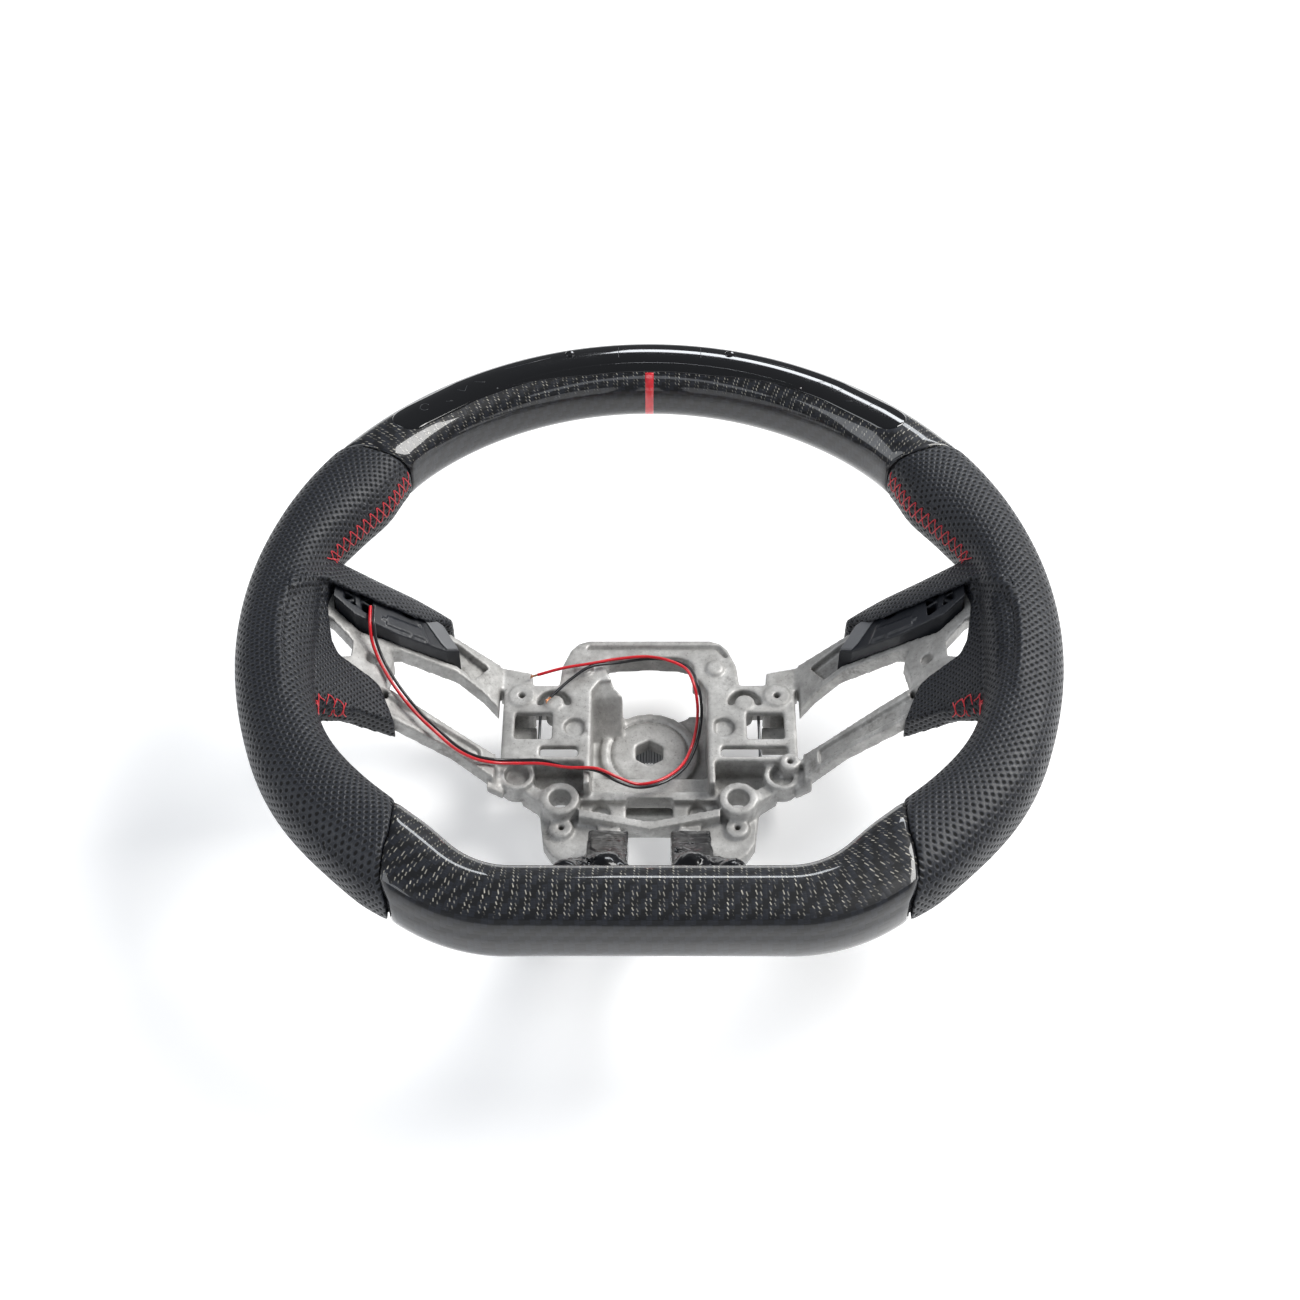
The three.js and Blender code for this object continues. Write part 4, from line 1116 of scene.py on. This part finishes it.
def band_sheet(bm, size, z_of, half=LENS_HALF, steps=130, across=16):
    """Grid over the window's round-ended band; z_of gives the height from the edge distance."""
    mid = LENS_MID
    straight = math.radians(half) * mid
    rows = []
    for i in range(steps + 1):
        w = math.sin((i / steps - 0.5) * math.pi)
        along = w * (straight + size) if abs(w) > 0.9 else (i / steps - 0.5) * 2 * (straight + size)
        along = math.copysign(min(abs(along), straight + size - 1e-4), along)
        over = max(0.0, abs(along) - straight)
        width = math.sqrt(max(0.0, size * size - over * over))
        row = []
        for j in range(across + 1):
            r = width * math.sin((j / across - 0.5) * math.pi)
            edge = size - math.hypot(over, r)
            a = math.pi / 2 - along / mid
            x, y = (mid + r) * math.cos(a), (mid + r) * math.sin(a)
            row.append(bm.verts.new(W(x, y, z_of(edge, along, r))))
        rows.append(row)
    return rows


def make_lens():
    bm = bmesh.new()
    size = (LENS_R[1] - LENS_R[0]) / 2

    def top_of(edge, along, r):
        e = min(1.0, max(0.0, edge) / 1.0)
        return crown(along, r) + 0.34 - 0.75 * (1 - math.sqrt(max(0.0, 1 - (1 - e) ** 2)))

    slab(bm, band_sheet(bm, size, top_of),
         band_sheet(bm, size, lambda edge, along, r: crown(along, r) - 1.6))
    obj = object_from("display_lens_piece", bm, GLOSS)
    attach(obj, "wheel")
    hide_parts("display_lens")


make_lens()


def make_surround():
    """The glossy black shoulder between the window and the carbon face below it."""
    bm = bmesh.new()
    steps, around, end = 120, 14, 0.155
    layers = []
    for grow in (0.32, -0.6):
        rows = []
        for i in range(steps + 1):
            w = 2 * i / steps - 1
            t = 2 + end * w
            s = abs(end * w)
            deep = 127 if s < 0.062 else 127 - (s - 0.062) / (end - 0.062) * 19
            row = []
            for j in range(around + 1):
                q = j / around
                a = math.radians(106 + (deep - 106) * q)
                lip = 0.16 if j == around and grow > 0 else 0.0
                row.append(bm.verts.new(W(*on_rim(t, a, grow - lip, 1.0))))
            rows.append(row)
        layers.append(rows)
    slab(bm, *layers)
    obj = object_from("display_surround", bm, GLOSS)
    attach(obj, "wheel")


make_surround()


def make_button(side, word):
    bm = bmesh.new()
    x, y = polar(173, side * 13.3)
    drum(bm, x, y, 3.2, 12.6, 14.4, 32)
    for r0, r1, z0, z1 in ((2.2, 2.2, 14.2, 17.7), (2.2, 1.9, 17.7, 18.0), (1.9, 1.1, 18.0, 18.1)):
        drum(bm, x, y, r0, z0, z1, 32, r1)
    obj = object_from("display_button_piece_%s" % word, bm, GLOSS, smooth=False)
    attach(obj, "button_" + word)
    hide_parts("display_button_" + word)


for side, word in SIDES:
    make_button(side, word)


def make_etched():
    """Faint generic marks under the window's ends: a chevron, dashes and a round mark."""
    bm = bmesh.new()
    lines = []

    def on_lens(x, y):
        along = math.atan2(x, y) * LENS_MID
        return Vector((x, y, crown(along, math.hypot(x, y) - LENS_MID) + 0.36))

    for side in (-1, 1):
        at = lambda r, a: on_lens(*polar(r, side * a))
        lines.append([at(171, 33.5), at(168, 32.6), at(171, 31.6)])
        lines.append([at(171.5, 30.2), at(168.5, 28.6)])
        lines.append([at(167, 36.5), at(165.2, 35.4)])
        lines.append([at(173, 24.5), at(173, 16.5)])
        x, y = polar(170, side * 40.0)
        ring = [on_lens(x + 2.3 * math.cos(a), y + 2.3 * math.sin(a))
                for a in [math.radians(40 + 14 * k) for k in range(21)]]
        lines.append(ring)
    for x in (-15.4, 25.6):
        lines.append([on_lens(x, 165.5 + k) for k in range(9)])
    for line in lines:
        tube_mesh(bm, line, 0.13, 6)
    obj = object_from("display_marks", bm, ETCH)
    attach(obj, "wheel")


make_etched()


# ---- springs and insert
def make_spring(side, word):
    px, py, r, z = 46.0, 13.0, 6.6, -74.0
    pts = []
    for i in range(10):
        a = math.radians(200 - i * 22.2)
        pts.append(Vector((px + r * math.cos(a), py + r * math.sin(a), z)))
    pts += [Vector((px + r + 0.2, y, z)) for y in (8, 2, -5, -12, -16.5)]
    path = [Vector((side * p.x, p.y, p.z)) for p in smooth_path(pts)]
    bm = bmesh.new()
    tube_mesh(bm, path, 0.7, 12)
    obj = object_from("airbag_spring_piece_%s" % word, bm, STEEL)
    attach(obj, "spring_" + word)
    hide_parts("airbag_spring_" + word)


for side, word in SIDES:
    make_spring(side, word)


def make_insert():
    bm = bmesh.new()
    teeth, z0, z1 = 36, -110.0, -97.6
    outer, inner = [], []
    for k in range(teeth * 4):
        a = math.tau * k / (teeth * 4)
        r = 9.3 if (k % 4) < 2 else 8.7
        inner.append((r * math.cos(a), r * math.sin(a)))
        outer.append((12.9 * math.cos(a), 12.9 * math.sin(a)))
    rings = []
    for pts, z in ((outer, z0), (outer, z1), (inner, z1), (inner, z0)):
        rings.append([bm.verts.new(W(x, y, z)) for x, y in pts])
    for r0, r1 in zip(rings, rings[1:] + rings[:1]):
        bridge(bm, r0, r1)
    obj = object_from("column_insert_piece", bm, STEEL, smooth=False)
    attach(obj, "wheel")
    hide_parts("column_insert")


make_insert()


# ---- lead
red_core.data.materials.append(RED_SHEATH)
black_core.data.materials.append(BLACK_SHEATH)


def strands(name, path, node, count=7):
    end = path[-1]
    d = (path[-1] - path[-3]).normalized()
    side = d.cross(Vector((0, 0, 1))).normalized()
    up = side.cross(d)
    bm = bmesh.new()
    for k in range(count):
        a = math.tau * k / count
        off = (side * math.cos(a) + up * math.sin(a)) * (0.32 if k else 0.0)
        spread = off * 2.2 + Vector((0, 0, 0.15))
        pts = [end - d * 0.6 + off, end + d * 1.2 + off * 1.1, end + d * 2.8 + spread * 0.7,
               end + d * (3.6 + 0.5 * math.sin(5.0 * k)) + spread * 1.3]
        tube_mesh(bm, smooth_path(pts, 3), 0.16, 6)
    obj = object_from(name, bm, COPPER)
    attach(obj, "wheel")
    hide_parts(node)
    return obj


red_strands = strands("copper_red", red_path, "bare_end_red")
black_strands = strands("copper_black", black_path, "bare_end_black")
for obj, path, slot, node, extra in ((red_core, red_path, "red_sheath", "lead_red", red_strands),
                                     (black_core, black_path, "black_sheath", "lead_black", black_strands)):
    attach(obj, "wheel")
    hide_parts(node)

# ---- CAD nodes kept
FOAM_NODES = ["rim_foam_" + word for word in ("top", "bottom", "left", "right")]
SCREW_NODES = ["bracket_screw_left", "bracket_screw_right"]
GLOW_NODES = ["display_screen", "shift_light_left", "shift_light_right"]
KEPT = {"rim_hoop": CAST, "display_housing": PLASTIC, "display_board": BOARD}
KEPT.update({name: FOAM for name in FOAM_NODES})
KEPT.update({name: GLOW for name in GLOW_NODES})
KEPT.update({name: STEEL for name in SCREW_NODES})
for name, material in KEPT.items():
    for slot in bpy.data.objects[name].material_slots:
        slot.material = material


# ---- floor and light
def floor_material():
    n = Nodes("pale_floor")
    tone = n.mix(n.ramp(n.noise(3.0, 2.0), 0.3, 0.7), rgb(0.90, 0.90, 0.90), rgb(0.93, 0.93, 0.93))
    n.set(Base_Color=tone, Roughness=0.9, Emission_Color=(1.0, 1.0, 1.0, 1.0), Emission_Strength=0.30)
    return n.mat


bm = bmesh.new()
corners = [bm.verts.new((x, y, 0.0)) for x, y in ((-6, -6), (6, -6), (6, 8), (-6, 8))]
bm.faces.new(corners)
floor = object_from("floor", bm, floor_material(), smooth=False)

world = bpy.data.worlds.new("studio")
world.use_nodes = True
world.node_tree.nodes["Background"].inputs[0].default_value = (0.80, 0.83, 0.88, 1.0)
world.node_tree.nodes["Background"].inputs[1].default_value = 0.22
bpy.context.scene.world = world


def area(name, place, target, size, power, tint=(1, 1, 1)):
    data = bpy.data.lights.new(name, "AREA")
    data.shape = "RECTANGLE"
    data.size, data.size_y = size
    data.energy = power
    data.color = tint
    obj = bpy.data.objects.new(name, data)
    obj.location = place
    obj.rotation_euler = (Vector(target) - Vector(place)).to_track_quat("-Z", "Y").to_euler()
    bpy.context.scene.collection.objects.link(obj)


area("key", (1.15, 0.45, 1.45), (0, 0, 0.05), (1.0, 1.0), 42, (1.0, 0.99, 0.97))
area("fill", (-1.3, -0.2, 1.3), (0, 0, 0.05), (0.8, 1.2), 10, (0.93, 0.96, 1.0))
area("front", (0.0, -1.7, 0.75), (0, -0.1, 0.08), (2.6, 0.5), 9, (0.90, 0.94, 1.0))
area("back", (0.5, 1.4, 1.1), (0, 0.05, 0.08), (1.2, 0.22), 9, (0.93, 0.96, 1.0))
bpy.context.scene.view_settings.view_transform = "Standard"
